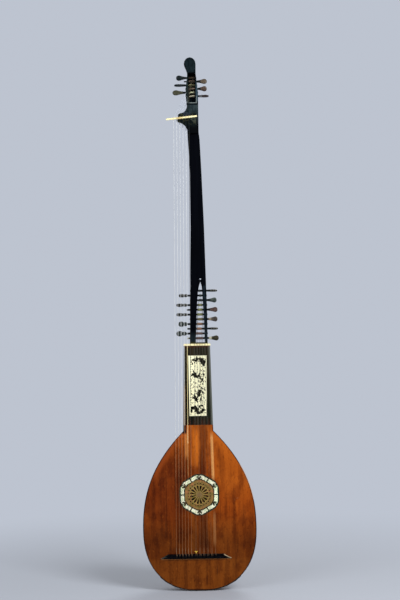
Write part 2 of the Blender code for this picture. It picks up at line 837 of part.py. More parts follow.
def head_ring(left, right, front, back, height, chamfer=HEAD_CHAMFER):
    """Rectangular section with its four edges taken off."""
    c = chamfer
    corners = [
        (left + c, front),
        (right - c, front),
        (right, front + c),
        (right, back - c),
        (right - c, back),
        (left + c, back),
        (left, back - c),
        (left, front + c),
    ]
    return [Vector((x, y, height)) for x, y in corners]


def finial_rings():
    """Spoon-shaped tip: it swells to the bass side only, then ends in a half round."""
    top = RECESS_END + FINIAL_LENGTH
    half = (FINIAL_RIGHT - FINIAL_LEFT) / 2
    centre = (FINIAL_RIGHT + FINIAL_LEFT) / 2
    round_start = top - half * 1.1
    start = RECESS_END + FINIAL_STEP + FINIAL_THICKNESS
    back = HEAD_FRONT + FINIAL_THICKNESS
    swell = [(RECESS_END, PEGBOX_END_LEFT), (round_start, FINIAL_LEFT)]
    edge = [(RECESS_END, PEGBOX_END_RIGHT), (round_start, FINIAL_RIGHT)]
    rings = []
    for i in range(4):
        z = start + (round_start - start) * i / 3
        left, right = smooth_between(z, swell), smooth_between(z, edge)
        rings.append(head_ring(left, right, HEAD_FRONT, back, z))
    for degrees in (25, 45, 62, 76, 86):
        angle = math.radians(degrees)
        z = round_start + (top - round_start) * math.sin(angle)
        reach = half * math.cos(angle)
        chamfer = min(HEAD_CHAMFER, reach * 0.6)
        rings.append(
            head_ring(centre - reach, centre + reach, HEAD_FRONT, back, z, chamfer)
        )
    return rings


# Open slot of the lower pegbox, tapered and then arched to a point: share of its length,
# share of its lean and share of its half width
SLOT_SHAPE = [
    (0.00, 0.000, 1.000),
    (0.45, 0.115, 0.774),
    (0.72, 0.280, 0.557),
    (0.83, 0.525, 0.460),
    (0.92, 0.836, 0.317),
    (1.00, 1.000, 0.000),
]


def slot_centre(height):
    rise = (height - HEAD_FOOT - SLOT_START) / SLOT_LENGTH
    lean = straight_between(rise, [(share, lean) for share, lean, _ in SLOT_SHAPE])
    return SLOT_OFFSET + SLOT_LEAN * lean


def slot_half(height):
    rise = (height - HEAD_FOOT - SLOT_START) / SLOT_LENGTH
    half = straight_between(rise, [(share, half) for share, _, half in SLOT_SHAPE])
    return SLOT_WIDTH / 2 * half


def slot_outline():
    heights = [HEAD_FOOT + SLOT_START + SLOT_LENGTH * share for share, _, _ in SLOT_SHAPE[:-1]]
    right = [(slot_centre(z) + slot_half(z), z) for z in heights]
    left = [(slot_centre(z) - slot_half(z), z) for z in heights]
    return right + [(slot_centre(SLOT_TOP), SLOT_TOP)] + left[::-1]


def keyhole_outline():
    """Small round hole over the slot's pointed arch."""
    sides = 10
    return [
        (
            slot_centre(SLOT_TOP) + KEYHOLE_RADIUS * math.cos(2 * math.pi * k / sides),
            SLOT_TOP + KEYHOLE_RISE + KEYHOLE_RADIUS * math.sin(2 * math.pi * k / sides),
        )
        for k in range(sides)
    ]


def make_head(material, hanger, pegs):
    slot_top = SLOT_TOP
    shaft_top = UPPER_NUT_HEIGHT - SHAFT_DROP
    heights = [HEAD_FOOT + PEG_SPACING * k for k in (0.0, 0.5, 1.0)]
    heights += [HEAD_FOOT + STRAIGHT_FOOT]
    heights += [slot_top + PEG_SPACING * k for k in (-1.0, 0.5, 1.5, 3.0)]
    heights += [SHAFT_MIDDLE, shaft_top, shaft_top + SHAFT_DROP / 3]
    heights += [UPPER_NUT_HEIGHT - STEP_DROP, UPPER_NUT_HEIGHT - STEP_DROP + STEP_LENGTH]
    heights += [UPPER_NUT_HEIGHT - THROAT_LENGTH / 2]
    heights += [RECESS_START - THROAT_LENGTH * k for k in (0.5, 0.25)]
    heights += [RECESS_START + FINIAL_STEP]
    heights += [RECESS_START + PEGBOX_SWELL * k for k in (0.5, 1.0, 1.7, 2.3, 2.8)]
    heights += [RECESS_END, RECESS_END + FINIAL_STEP]
    rings = [
        head_ring(head_left(z), head_right(z), HEAD_FRONT, head_back(z), z) for z in heights
    ]
    head = add_object("head", loft_mesh("head", rings + finial_rings()), material, hanger)
    tenon = bmesh.new()
    tenon_box(tenon, 0.0)
    boolean(head, mesh_from_bmesh("tenon", tenon), "UNION", hanger)
    slot = bmesh.new()
    plate_into(slot, slot_outline(), BRACKET_FRONT, 2 * PEGBOX_BACK)
    plate_into(slot, keyhole_outline(), BRACKET_FRONT, 2 * PEGBOX_BACK)
    boolean(head, mesh_from_bmesh("slot", slot), "DIFFERENCE", hanger)
    recess = bmesh.new()
    box_into(
        recess,
        (RECESS_LEFT, -0.02, RECESS_START),
        (RECESS_RIGHT, RECESS_FLOOR, RECESS_END),
    )
    boolean(head, mesh_from_bmesh("recess", recess), "DIFFERENCE", hanger)
    holes = bmesh.new()
    for peg in pegs:
        add_peg_hole(holes, peg)
    boolean(head, mesh_from_bmesh("peg_holes", holes), "DIFFERENCE", hanger)


def arc_points(start, end, bulge, steps):
    """Points from start to end on an arc whose middle stands off by bulge, to the left."""
    (x0, z0), (x1, z1) = start, end
    length = math.hypot(x1 - x0, z1 - z0)
    side = ((z0 - z1) / length, (x1 - x0) / length)
    points = []
    for i in range(steps + 1):
        share = i / steps
        off = bulge * (1 - (2 * share - 1) ** 2)
        x = x0 + (x1 - x0) * share + side[0] * off
        z = z0 + (z1 - z0) * share + side[1] * off
        points.append((x, z))
    return points


def bracket_outline():
    """Swan-necked plate: an ear out to the bass side, drawn in below to the extension."""
    base = UPPER_NUT_HEIGHT
    ear = arc_points((-0.0205, base - 0.056), (-0.0575, base - 0.0145), -0.0100, 6)
    tip = arc_points((-0.0594, base - 0.0090), (-0.0560, base + 0.0125), -0.0012, 2)
    shoulder = arc_points((-0.0510, base + 0.0165), (-0.0330, base + 0.0200), 0.0008, 2)
    crown = arc_points((-0.0222, base + 0.0215), (0.0105, base + 0.0205), 0.0, 1)
    right = arc_points((0.0105, base), (0.0095, base - 0.0150), 0.0, 1)
    tail = arc_points((0.0115, base - 0.0260), (0.0180, base - 0.0560), 0.0012, 3)
    return ear + tip + shoulder + crown + right + tail


def fillet_outline():
    """The hollow that leads from the ear's top up the extension's bass edge."""
    base = UPPER_NUT_HEIGHT
    hollow = arc_points((-0.0500, base + 0.0160), (-0.0228, base + 0.0460), -0.0075, 6)
    inner = [(THROAT_LEFT + 0.0015, base + 0.0460), (THROAT_LEFT + 0.0015, base), (-0.0500, base)]
    return hollow + inner


def make_bracket(material, hanger):
    back = HEAD_FRONT - GAP
    mesh = plate_mesh("nut_bracket", bracket_outline(), BRACKET_FRONT, back)
    bracket = add_object("nut_bracket", mesh, material, hanger)
    fillet = plate_mesh("fillet", fillet_outline(), FILLET_FRONT, back)
    boolean(bracket, fillet, "UNION", hanger)


def upper_nut_height(x):
    """Height of the slanted upper nut's lower edge at x."""
    slant = math.tan(UPPER_NUT_TILT) * (x - UPPER_NUT_CENTRE)
    return UPPER_NUT_HEIGHT - UPPER_NUT_WIDTH / 2 + slant


def make_upper_nut(material, hanger):
    foot = BRACKET_FRONT - GAP
    crown = foot - UPPER_NUT_RISE
    profile = [
        (foot, 0.0),
        (foot, 1.0),
        (crown * 0.75 + foot * 0.25, 1.0),
        (crown, 0.7),
        (crown, 0.3),
        (crown * 0.8 + foot * 0.2, 0.0),
    ]
    rings = []
    for x in (
        UPPER_NUT_CENTRE - UPPER_NUT_LENGTH / 2,
        UPPER_NUT_CENTRE + UPPER_NUT_LENGTH / 2,
    ):
        low = upper_nut_height(x)
        rings.append([Vector((x, y, low + z * UPPER_NUT_WIDTH)) for y, z in profile])
    add_object("upper_nut", loft_mesh("upper_nut", rings), material, hanger)


# Pegs

# Turned and flattened grips: share of the way out, then half width and half thickness as
# shares of GRIP_HALF
PEG_HEADS = {
    "right": [
        (0.05, 0.38, 0.36),
        (0.22, 0.48, 0.40),
        (0.40, 0.60, 0.43),
        (0.56, 0.74, 0.45),
        (0.70, 0.90, 0.45),
        (0.81, 0.95, 0.42),
        (0.90, 0.85, 0.38),
        (0.965, 0.60, 0.32),
        (1.00, 0.30, 0.22),
    ],
    "left": [
        (0.20, 0.34, 0.34),
        (0.235, 0.26, 0.26),
        (0.27, 0.52, 0.43),
        (0.36, 0.74, 0.48),
        (0.49, 0.72, 0.45),
        (0.535, 0.56, 0.36),
        (0.60, 0.86, 0.45),
        (0.75, 1.02, 0.43),
        (0.89, 0.88, 0.39),
        (0.97, 0.54, 0.32),
        (1.00, 0.28, 0.24),
    ],
    "bass": [
        (0.05, 0.36, 0.36),
        (0.12, 0.27, 0.27),
        (0.30, 0.40, 0.33),
        (0.48, 0.64, 0.37),
        (0.64, 0.90, 0.40),
        (0.77, 0.98, 0.38),
        (0.88, 0.86, 0.35),
        (0.96, 0.58, 0.30),
        (1.00, 0.28, 0.22),
    ],
}
# How far each grip stands out from its wall, from the foot up
PEG_REACHES = (
    0.0412, 0.0500, 0.0390, 0.0427, 0.0378, 0.0508, 0.0388, 0.0518, 0.0366, 0.0432, 0.0400
)
BASS_PEG_REACHES = (0.0394, 0.0480, 0.0344, 0.0440, 0.0380, 0.0400)
# And how far its small end stands out on the far side
PEG_STUBS = (
    0.0105, 0.0012, 0.0105, 0.0012, 0.0012, 0.0012, 0.0135, 0.0012, 0.0012, 0.0012, 0.0012
)
BASS_PEG_STUBS = (0.0014, 0.0012, 0.0014, 0.0012, 0.0100, 0.0012)
# Turn of each grip at rest, in degrees: near 0 it is seen flat and near 90 edge-on
PEG_TURNS = (8, 10, 84, 6, -8, 88, 10, 94, -10, 86, 82)
BASS_PEG_TURNS = (78, 8, -8, 86, 12, -10)


def peg_list():
    """Every peg's name, side, place, wall faces, and the reach and turn of its grip."""
    pegs = []
    for i in range(PEG_COUNT):
        height = HEAD_FOOT + FIRST_PEG + PEG_SPACING * i
        side = "right" if i % 2 == 0 else "left"
        shaft = (PEG_THICK, PEG_THIN, PEG_STUBS[i])
        grip = (side, PEG_REACHES[i], PEG_TURNS[i])
        pegs.append(peg_entry(f"peg_{i + 1:02d}", side, height, PEG_AXIS_Y, shaft, grip))
    for i in range(BASS_PEG_COUNT):
        height = RECESS_START + FIRST_BASS_PEG + BASS_PEG_SPACING * i
        side = "right" if i % 2 == 0 else "left"
        shaft = (BASS_PEG_THICK, BASS_PEG_THIN, BASS_PEG_STUBS[i])
        grip = ("bass", BASS_PEG_REACHES[i], BASS_PEG_TURNS[i])
        pegs.append(peg_entry(f"bass_peg_{i + 1}", side, height, BASS_PEG_AXIS_Y, shaft, grip))
    return pegs


def peg_entry(name, side, height, axis_y, shaft, grip):
    thick, thin, stub = shaft
    head, reach, turn = grip
    right = side == "right"
    wall = head_right(height) if right else head_left(height)
    other = head_left(height) if right else head_right(height)
    return {
        "name": name,
        "direction": 1 if right else -1,
        "grip": head,
        "place": Vector((wall, axis_y, height)),
        "length": abs(wall - other) + stub,
        "thick": thick,
        "thin": thin,
        "reach": reach,
        "turn": math.radians(turn),
    }


def peg_radius(peg, distance):
    """Radius of the shaft at a distance inward from the near wall's outer face."""
    return peg["thick"] + (peg["thin"] - peg["thick"]) * distance / peg["length"]


def peg_ring(distance, half_width, half_thickness, turn, sides, direction):
    points = []
    for k in range(sides):
        angle = 2 * math.pi * (k + 0.5) / sides
        wide, thin = half_width * math.cos(angle), half_thickness * math.sin(angle)
        y = wide * math.sin(turn) + thin * math.cos(turn)
        z = wide * math.cos(turn) - thin * math.sin(turn)
        points.append(Vector((distance * direction, y, z)))
    return points


def make_peg(peg, material, hanger):
    rings = []
    for distance, shrink in ((peg["length"], 0.75), (peg["length"] - 0.0012, 1.0), (0.0, 1.0)):
        radius = peg_radius(peg, distance) * shrink
        rings.append(peg_ring(-distance, radius, radius, 0, PEG_SIDES, peg["direction"]))
    for share, wide, thin in PEG_HEADS[peg["grip"]]:
        rings.append(
            peg_ring(
                share * peg["reach"],
                wide * GRIP_HALF,
                thin * GRIP_HALF,
                peg["turn"],
                PEG_SIDES,
                peg["direction"],
            )
        )
    thing = add_object(peg["name"], loft_mesh(peg["name"], rings, 40), material, hanger)
    thing.location = peg["place"]


def add_peg_hole(bm, peg):
    """Tapered hole through both walls, clear of the shaft all the way round."""
    rings = []
    for distance in (-0.004, peg["length"] + 0.004):
        radius = (peg_radius(peg, distance) + GAP) / math.cos(math.pi / PEG_SIDES)
        ring = peg_ring(-distance, radius, radius, 0, PEG_SIDES, peg["direction"])
        rings.append([point + peg["place"] for point in ring])
    loft_into(bm, rings)


# Strings

# Where each fingered string starts round its peg: peg number from the foot, place across the
# slot as a share of its half width there, and the way it winds
PEG_PLACES = [
    (11, -0.19, -1),
    (8, 0.65, -1),
    (7, 0.56, -1),
    (4, 0.55, -1),
    (3, 0.26, -1),
    (1, -0.05, 1),
    (2, -0.31, 1),
    (5, -0.60, 1),
    (6, -0.75, 1),
    (9, -0.34, 1),
    (10, -0.33, 1),
]
# And for the bass strings the share of the way across the recess from its bass side
BASS_PEG_PLACES = (0.114, 0.221, 0.352, 0.477, 0.601, 0.744)


def fingered_positions(first, course_spacing, pair_spacing):
    """Across positions of one single and five double courses, first course first."""
    positions = [first]
    for course in range(1, 6):
        middle = first - course_spacing * course
        positions += [middle + pair_spacing / 2, middle - pair_spacing / 2]
    return positions


def string_routes(pegs):
    """What each string needs: its name, radius, places on the bridge and nut, and its peg."""
    routes = []
    at_bridge = fingered_positions(
        FIRST_COURSE_BRIDGE, COURSE_SPACING_BRIDGE, PAIR_SPACING_BRIDGE
    )
    at_nut = fingered_positions(FIRST_COURSE_NUT, COURSE_SPACING_NUT, PAIR_SPACING_NUT)
    for i, (number, share, way) in enumerate(PEG_PLACES):
        crest = -NUT_RISE - GAP - STRING_RADIUS
        peg = pegs[number - 1]
        height = peg["place"].z
        routes.append(
            {
                "name": f"string_{i + 1:02d}",
                "radius": STRING_RADIUS,
                "bridge_x": at_bridge[i],
                "nut": [
                    Vector((at_nut[i], crest, NUT_HEIGHT + NUT_THICKNESS * 0.2)),
                    Vector((at_nut[i], crest, NUT_HEIGHT + NUT_THICKNESS * 0.5 + GAP)),
                ],
                "peg": peg,
                "peg_x": slot_centre(height) + slot_half(height) * share,
                "way": way,
            }
        )
    for i, share in enumerate(BASS_PEG_PLACES):
        x = DIAPASON_NUT - DIAPASON_SPACING_NUT * i
        crest = BRACKET_FRONT - GAP - UPPER_NUT_RISE - GAP - BASS_RADIUS
        low = upper_nut_height(x)
        routes.append(
            {
                "name": f"bass_string_{i + 1}",
                "radius": BASS_RADIUS,
                "bridge_x": DIAPASON_BRIDGE - DIAPASON_SPACING_BRIDGE * i,
                "nut": [
                    Vector((x, crest, low + UPPER_NUT_WIDTH * 0.25)),
                    Vector((x, crest, low + UPPER_NUT_WIDTH * 0.75)),
                ],
                "peg": pegs[PEG_COUNT + i],
                "peg_x": RECESS_LEFT + (RECESS_RIGHT - RECESS_LEFT) * share,
                "way": 1,
            }
        )
    return routes


def bridge_tie(route):
    """The string's end: from the front over the bridge's top, round its back and into its hole."""
    r = route["radius"]
    x = route["bridge_x"]
    beside = x + 2 * r + 2 * GAP
    back_edge = BRIDGE_TOP - BRIDGE_WIDTH
    off = r + GAP
    return [
        Vector((beside, -BRIDGE_FRONT_RISE * 0.72, BRIDGE_TOP + off + GAP)),
        Vector((beside, -BRIDGE_FRONT_RISE - off * 0.7, BRIDGE_TOP - 0.0002)),
        Vector((beside, -BRIDGE_FRONT_RISE - off * 1.15, BRIDGE_TOP - BRIDGE_WIDTH * 0.30)),
        Vector((beside - r, -BRIDGE_BACK_RISE - off * 1.25, back_edge + BRIDGE_WIDTH * 0.08)),
        Vector((x + r * 0.3, -BRIDGE_BACK_RISE * 0.88, back_edge - off * 1.25)),
        Vector((x, -STRING_RISE - r * 0.4, back_edge - off * 1.1)),
        Vector((x, -STRING_RISE, back_edge + 0.0012)),
        Vector((x, -STRING_RISE, BRIDGE_TOP + 0.0010)),
    ]


def peg_winding(route):
    """Tangent point on the peg and the turns after it, as a steady helix round the shaft."""
    peg, start = route["peg"], route["nut"][-1]
    r = route["radius"]
    from_wall = (peg["place"].x - route["peg_x"]) * peg["direction"]
    shaft = max(peg_radius(peg, from_wall - 0.006), peg_radius(peg, from_wall + 0.006))
    coil = (shaft + GAP + r) / math.cos(math.pi / POINTS_PER_TURN)
    pitch = 2 * r + TURN_GAP
    dy, dz = peg["place"].y - start.y, peg["place"].z - start.z
    lean = math.atan2(dy, dz) - math.asin(coil / math.hypot(dy, dz))
    points = []
    for k in range(TURNS * POINTS_PER_TURN + 1):
        angle = lean + 2 * math.pi * k / POINTS_PER_TURN
        along = route["way"] * pitch * k / POINTS_PER_TURN
        points.append(
            Vector(
                (
                    route["peg_x"] + along,
                    peg["place"].y - coil * math.cos(angle),
                    peg["place"].z + coil * math.sin(angle),
                )
            )
        )
    return points


def least_self_gap(points, radius):
    """Smallest gap between stretches of one string that are over half a turn apart."""
    least = math.inf
    apart = POINTS_PER_TURN // 2
    for i, p in enumerate(points):
        for q in points[i + apart + 1 :]:
            least = min(least, (p - q).length - 2 * radius)
    return least


def make_string(route, material, hanger):
    points = bridge_tie(route) + route["nut"] + peg_winding(route)
    curve = bpy.data.curves.new(route["name"], "CURVE")
    curve.dimensions = "3D"
    curve.bevel_depth = route["radius"]
    curve.bevel_resolution = 1
    curve.use_fill_caps = True
    spline = curve.splines.new("POLY")
    spline.points.add(len(points) - 1)
    for control, point in zip(spline.points, points):
        control.co = (*point, 1)
    add_object(route["name"], curve, material, hanger)
    return least_self_gap(points, route["radius"])


def main():
    clear_scene()
    hanger = bpy.data.objects.new("hanging_place", None)
    bpy.context.collection.objects.link(hanger)
    centre = (HEAD_FRONT + SHAFT_BACK) / 2
    hanger.location = (0, -centre, -HANG_HEIGHT)

    soundboard = make_material("soundboard_spruce", (0.42, 0.17, 0.06), 0.42)
    ribs = make_material("rib_wood", (0.30, 0.13, 0.05), 0.35)
    inner_wood = make_material("inner_wood", (0.55, 0.38, 0.20), 0.7)
    ebony = make_material("ebony", (0.015, 0.014, 0.015), 0.38)
    black_stain = make_material("blackened_wood", (0.02, 0.022, 0.026), 0.45)
    ivory = make_material("ivory", (0.83, 0.75, 0.58), 0.35)
    rose_wood = make_material("rose_wood", (0.35, 0.22, 0.09), 0.55)
    inlay = make_material("pearl_inlay", (0.70, 0.74, 0.62), 0.3)
    peg_wood = make_material("peg_wood", (0.07, 0.045, 0.035), 0.4)
    gut = make_material("gut", (0.62, 0.50, 0.30), 0.4)

    pegs = peg_list()
    routes = string_routes(pegs)
    make_soundboard(soundboard, hanger)
    make_binding(ebony, hanger)
    make_rose(rose_wood, hanger)
    make_surround(inlay, hanger)
    make_bridge(ebony, hanger, routes)
    make_ribs(ribs, hanger)
    make_end_clasp(ribs, hanger)
    make_end_block(inner_wood, hanger)
    make_neck_block(inner_wood, hanger)
    make_neck(black_stain, hanger)
    make_fingerboard(ebony, ivory, hanger)
    make_nut(ivory, hanger)
    make_head(black_stain, hanger, pegs)
    make_bracket(black_stain, hanger)
    make_upper_nut(ivory, hanger)
    for peg in pegs:
        make_peg(peg, peg_wood, hanger)
    gaps = [make_string(route, gut, hanger) for route in routes]
    print(f"least gap of a string to itself: {min(gaps) * 1000:.2f} mm")


main()
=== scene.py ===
"""Archlute: the visible instrument dressed over its construction frame.

Lengths are in metres, in the frame's own axes: +Z runs from the tail to the finial,
-Y out of the soundboard, and +X lies on the treble side.
"""

import json
import math
import random

import bmesh
import bpy
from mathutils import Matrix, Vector


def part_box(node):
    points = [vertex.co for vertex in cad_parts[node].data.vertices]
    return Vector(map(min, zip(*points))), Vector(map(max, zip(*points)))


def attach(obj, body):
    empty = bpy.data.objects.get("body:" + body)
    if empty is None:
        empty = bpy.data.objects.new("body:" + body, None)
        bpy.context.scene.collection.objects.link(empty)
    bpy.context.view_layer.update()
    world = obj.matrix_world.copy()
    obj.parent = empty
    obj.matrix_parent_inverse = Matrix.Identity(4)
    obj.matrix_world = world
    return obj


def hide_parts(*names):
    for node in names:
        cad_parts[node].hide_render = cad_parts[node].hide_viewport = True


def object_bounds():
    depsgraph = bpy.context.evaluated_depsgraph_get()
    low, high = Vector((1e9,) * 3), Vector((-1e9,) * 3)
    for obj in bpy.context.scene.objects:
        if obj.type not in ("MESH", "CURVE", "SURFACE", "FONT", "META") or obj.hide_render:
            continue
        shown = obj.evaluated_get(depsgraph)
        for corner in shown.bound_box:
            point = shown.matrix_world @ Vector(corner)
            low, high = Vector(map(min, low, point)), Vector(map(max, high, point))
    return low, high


bl_info = {
    "name": "Archlute dresser",
    "version": (1, 2, 0),
    "blender": (4, 5, 0),
    "location": "View3D > Sidebar > Archlute",
    "description": "Builds the visible archlute: woods, rose, inlay, pegs and strings",
    "category": "Object",
}

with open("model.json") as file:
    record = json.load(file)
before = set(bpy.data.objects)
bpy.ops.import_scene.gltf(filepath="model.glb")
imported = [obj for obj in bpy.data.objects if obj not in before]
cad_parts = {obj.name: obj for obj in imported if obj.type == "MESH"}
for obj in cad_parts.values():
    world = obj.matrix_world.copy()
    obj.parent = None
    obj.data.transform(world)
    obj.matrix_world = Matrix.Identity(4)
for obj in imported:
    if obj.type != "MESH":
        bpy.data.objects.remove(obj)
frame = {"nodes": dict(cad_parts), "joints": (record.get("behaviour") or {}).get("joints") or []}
CAD_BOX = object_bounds()

# Places that the construction shares with the visible pieces
GAP = 0.0003
FRONT_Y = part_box("soundboard")[0].y
TAIL_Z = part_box("soundboard")[0].z - 0.0017
BRIDGE_LOW, BRIDGE_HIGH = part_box("bridge")
NUT_LOW, NUT_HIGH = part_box("nut")
UPPER_NUT_LOW, UPPER_NUT_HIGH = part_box("upper_nut")
HEAD_LOW, HEAD_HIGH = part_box("head")
BRACKET_LOW, BRACKET_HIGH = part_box("nut_bracket")
ROSE_LOW, ROSE_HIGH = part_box("rose")
ROSE_X, ROSE_Z = (ROSE_LOW.x + ROSE_HIGH.x) / 2, (ROSE_LOW.z + ROSE_HIGH.z) / 2
PLATE_LOW, PLATE_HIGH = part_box("fingerboard_plate")
JOINTS = {joint["child"]: joint for joint in frame["joints"]}
FINGERED = 11
DIAPASONS = 6
ROOT = "instrument"

# Bridge, nuts and string places
STRING_RISE = 0.0050
BRIDGE_FRONT_RISE = 0.0095
BRIDGE_BACK_RISE = 0.0078
BRIDGE_WIDTH = 0.017
TURN_GAP = 0.00045
POINTS_PER_TURN = 20
CAD_POINTS_PER_TURN = 8
FIRST_COURSE_BRIDGE = 0.057
COURSE_SPACING_BRIDGE = 0.0144
PAIR_SPACING_BRIDGE = 0.0044
FIRST_COURSE_NUT = 0.039
COURSE_SPACING_NUT = 0.0096
PAIR_SPACING_NUT = 0.0032
DIAPASON_BRIDGE = -0.032
DIAPASON_SPACING_BRIDGE = 0.0112
DIAPASON_NUT = -0.0157
DIAPASON_SPACING_NUT = 0.0114
NUT_THICKNESS = 0.0075
UPPER_NUT_WIDTH = 0.0064
UPPER_NUT_TILT = math.radians(5.4)

# Rose: radii from its centre
ROSE_RAYS = 16
ROSE_HUB = 0.0100
ROSE_STAR = 0.0350
ROSE_BORDER = 0.0411
ROSE_BORDER_WAVES = 12
ROSE_RIM = 0.0466
ROSE_FLAT = 0.0520
ROSE_CORNER = 0.0575

# Soundboard's outline: half width, widest height, reach of the shoulders and both powers
BODY_HALF_WIDTH = 0.210
WIDEST_HEIGHT = 0.225
SHOULDER_REACH = 0.416
SHOULDER_POWER = 2.35
TAIL_POWER = 2.3
NECK_JOINT_HALF = 0.0555

# Heights above the tail: soundboard's top, upper pegbox's lower end and finial's foot
SOUNDBOARD_TOP = 0.612
RECESS_START = 1.808
FINIAL_START = 1.918
# Trim round the upper pegbox's lower end: outer sides, drop below it and rise beside it
TRIM_LEFT = -0.0215
TRIM_RIGHT = 0.0138
TRIM_DROP = 0.0046
TRIM_RISE = 0.0230

# Pegs: radii of the shaft, reach of each grip from its wall and its turn at rest
PEG_THICK = 0.0042
PEG_THIN = 0.0032
BASS_PEG_THICK = 0.0030
BASS_PEG_THIN = 0.0024
GRIP_HALF = 0.0100
PEG_BEADS = 0.0088
PEG_REACHES = (
    0.0412, 0.0500, 0.0390, 0.0427, 0.0378, 0.0508, 0.0388, 0.0518, 0.0366, 0.0432, 0.0400
)
BASS_PEG_REACHES = (0.0394, 0.0480, 0.0344, 0.0440, 0.0380, 0.0400)
PEG_TURNS = (8, 10, 84, 6, -8, 88, 10, 94, -10, 86, 82)
BASS_PEG_TURNS = (78, 8, -8, 86, 12, -10)
# Share of the way out, then half width and half thickness as shares of GRIP_HALF
PEG_HEADS = {
    "right": [
        (0.05, 0.38, 0.36),
        (0.22, 0.48, 0.40),
        (0.40, 0.60, 0.43),
        (0.56, 0.74, 0.45),
        (0.70, 0.90, 0.45),
        (0.81, 0.95, 0.42),
        (0.90, 0.85, 0.38),
        (0.965, 0.60, 0.32),
        (1.00, 0.30, 0.22),
    ],
    "left": [
        (0.20, 0.36, 0.36),
        (0.235, 0.28, 0.28),
        (0.27, 0.52, 0.48),
        (0.36, 0.74, 0.58),
        (0.49, 0.72, 0.55),
        (0.535, 0.56, 0.42),
        (0.60, 0.86, 0.60),
        (0.75, 1.02, 0.64),
        (0.89, 0.88, 0.60),
        (0.97, 0.58, 0.46),
        (1.00, 0.30, 0.28),
    ],
    "bass": [
        (0.05, 0.40, 0.40),
        (0.12, 0.42, 0.42),
        (0.30, 0.54, 0.47),
        (0.48, 0.72, 0.50),
        (0.64, 0.92, 0.52),
        (0.77, 0.98, 0.49),
        (0.88, 0.86, 0.43),
        (0.96, 0.58, 0.33),
        (1.00, 0.28, 0.22),
    ],
}
# Woods of the pegs from the foot up, by their keys in peg_woods
PEG_WOODS = ("olive", "slate", "black", "slate", "ash", "black", "red", "black", "moss", "black", "black")
BASS_PEG_WOODS = ("grey", "moss", "ash", "dark", "tan", "dark")

# Fingered strings: peg number from the foot, x where it starts, way it winds, turns, turns back
# from its start, gut
PEG_PLACES = [
    (11, 0.01369, -1, 3, 0, "grey"),
    (8, 0.02100, -1, 12, 0, "green"),
    (7, 0.02047, -1, 13, 0, "green"),
    (4, 0.02143, -1, 15, 0, "orange"),
    (3, 0.01736, -1, 13, 0, "orange"),
    (1, 0.01248, 1, 8, 10, "rosy"),
    (2, 0.00847, 1, 10, 8, "rosy"),
    (5, 0.00528, 1, 15, 0, "olive"),
    (6, 0.00383, 1, 16, 0, "green"),
    (9, 0.01071, 1, 8, 0, "grey"),
    (10, 0.01159, 1, 7, 0, "grey"),
]
# Bass strings: x where it starts, turns toward the treble side and turns back from its start
BASS_PEG_PLACES = [
    (-0.01420, 12, 0),
    (-0.01119, 11, 1),
    (-0.00751, 9, 3),
    (-0.00400, 7, 5),
    (-0.00051, 5, 7),
    (0.00351, 3, 9),
]
# Rise of the lit strip of turns on a bass peg toward the treble side, and its middle
TURNS_SLOPE = 0.18
TURNS_MIDDLE = -0.006


# Small helpers


def link(obj):
    bpy.context.scene.collection.objects.link(obj)
    return obj


def settle(obj, body, replaced=None):
    """Says which body a piece rides on and the node it replaces."""
    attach(obj, body)
    if replaced:
        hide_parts(replaced)
    return obj


def mesh_piece(name, bm, material, body=ROOT, smooth_angle=35, replaced=None):
    """Turns a bmesh into a visible piece that rides on a body."""
    bmesh.ops.recalc_face_normals(bm, faces=bm.faces)
    mesh = bpy.data.meshes.new(name)
    bm.to_mesh(mesh)
    bm.free()
    mesh.shade_smooth()
    mesh.set_sharp_from_angle(angle=math.radians(smooth_angle))
    mesh.materials.append(material)
    return settle(link(bpy.data.objects.new(name, mesh)), body, replaced)


def tube_piece(name, paths, radius, material, cyclic=False, sides=2, replaced=None):
    """Round tubes along point paths; a path's points may add a radius factor to x, y, z."""
    curve = bpy.data.curves.new(name, "CURVE")
    curve.dimensions = "3D"
    curve.bevel_depth = radius
    curve.bevel_resolution = sides
    curve.use_fill_caps = True
    for path in paths:
        spline = curve.splines.new("POLY")
        spline.points.add(len(path) - 1)
        for control, point in zip(spline.points, path):
            control.co = (point[0], point[1], point[2], 1)
            control.radius = point[3] if len(point) > 3 else 1.0
        spline.use_cyclic_u = cyclic
        spline.use_smooth = True
    curve.materials.append(material)
    return settle(link(bpy.data.objects.new(name, curve)), ROOT, replaced)


def loft_into(bm, rings, closed=True):
    """Skins rings of equal count; closed adds the two end faces."""
    rows = [[bm.verts.new(point) for point in ring] for ring in rings]
    count = len(rows[0])
    for low, high in zip(rows, rows[1:]):
        for i in range(count):
            j = (i + 1) % count
            bm.faces.new((low[i], low[j], high[j], high[i]))
    if closed:
        bm.faces.new(rows[0][::-1])
        bm.faces.new(rows[-1])
    return rows


def smooth_stations(stations, steps):
    """Rounds a list of equal-length tuples with a curve through all of them."""
    padded = [stations[0], *stations, stations[-1]]
    result = []
    for i in range(1, len(padded) - 2):
        a, b, c, d = padded[i - 1 : i + 3]
        for k in range(steps):
            t = k / steps
            result.append(
                tuple(
                    0.5
                    * (
                        2 * q
                        + (r - p) * t
                        + (2 * p - 5 * q + 4 * r - s) * t * t
                        + (3 * q - p - 3 * r + s) * t**3
                    )
                    for p, q, r, s in zip(a, b, c, d)
                )
            )
    result.append(stations[-1])
    return result


# Shader nodes


def group_tree(name, inputs, outputs):
    tree = bpy.data.node_groups.new(name, "ShaderNodeTree")
    for label, kind, value in inputs:
        socket = tree.interface.new_socket(label, in_out="INPUT", socket_type=kind)
        if value is not None:
            socket.default_value = value
    for label, kind in outputs:
        tree.interface.new_socket(label, in_out="OUTPUT", socket_type=kind)
    return tree, tree.nodes.new("NodeGroupInput"), tree.nodes.new("NodeGroupOutput")


def add_node(tree, kind, **settings):
    node = tree.nodes.new(kind)
    for key, value in settings.items():
        setattr(node, key, value)
    return node


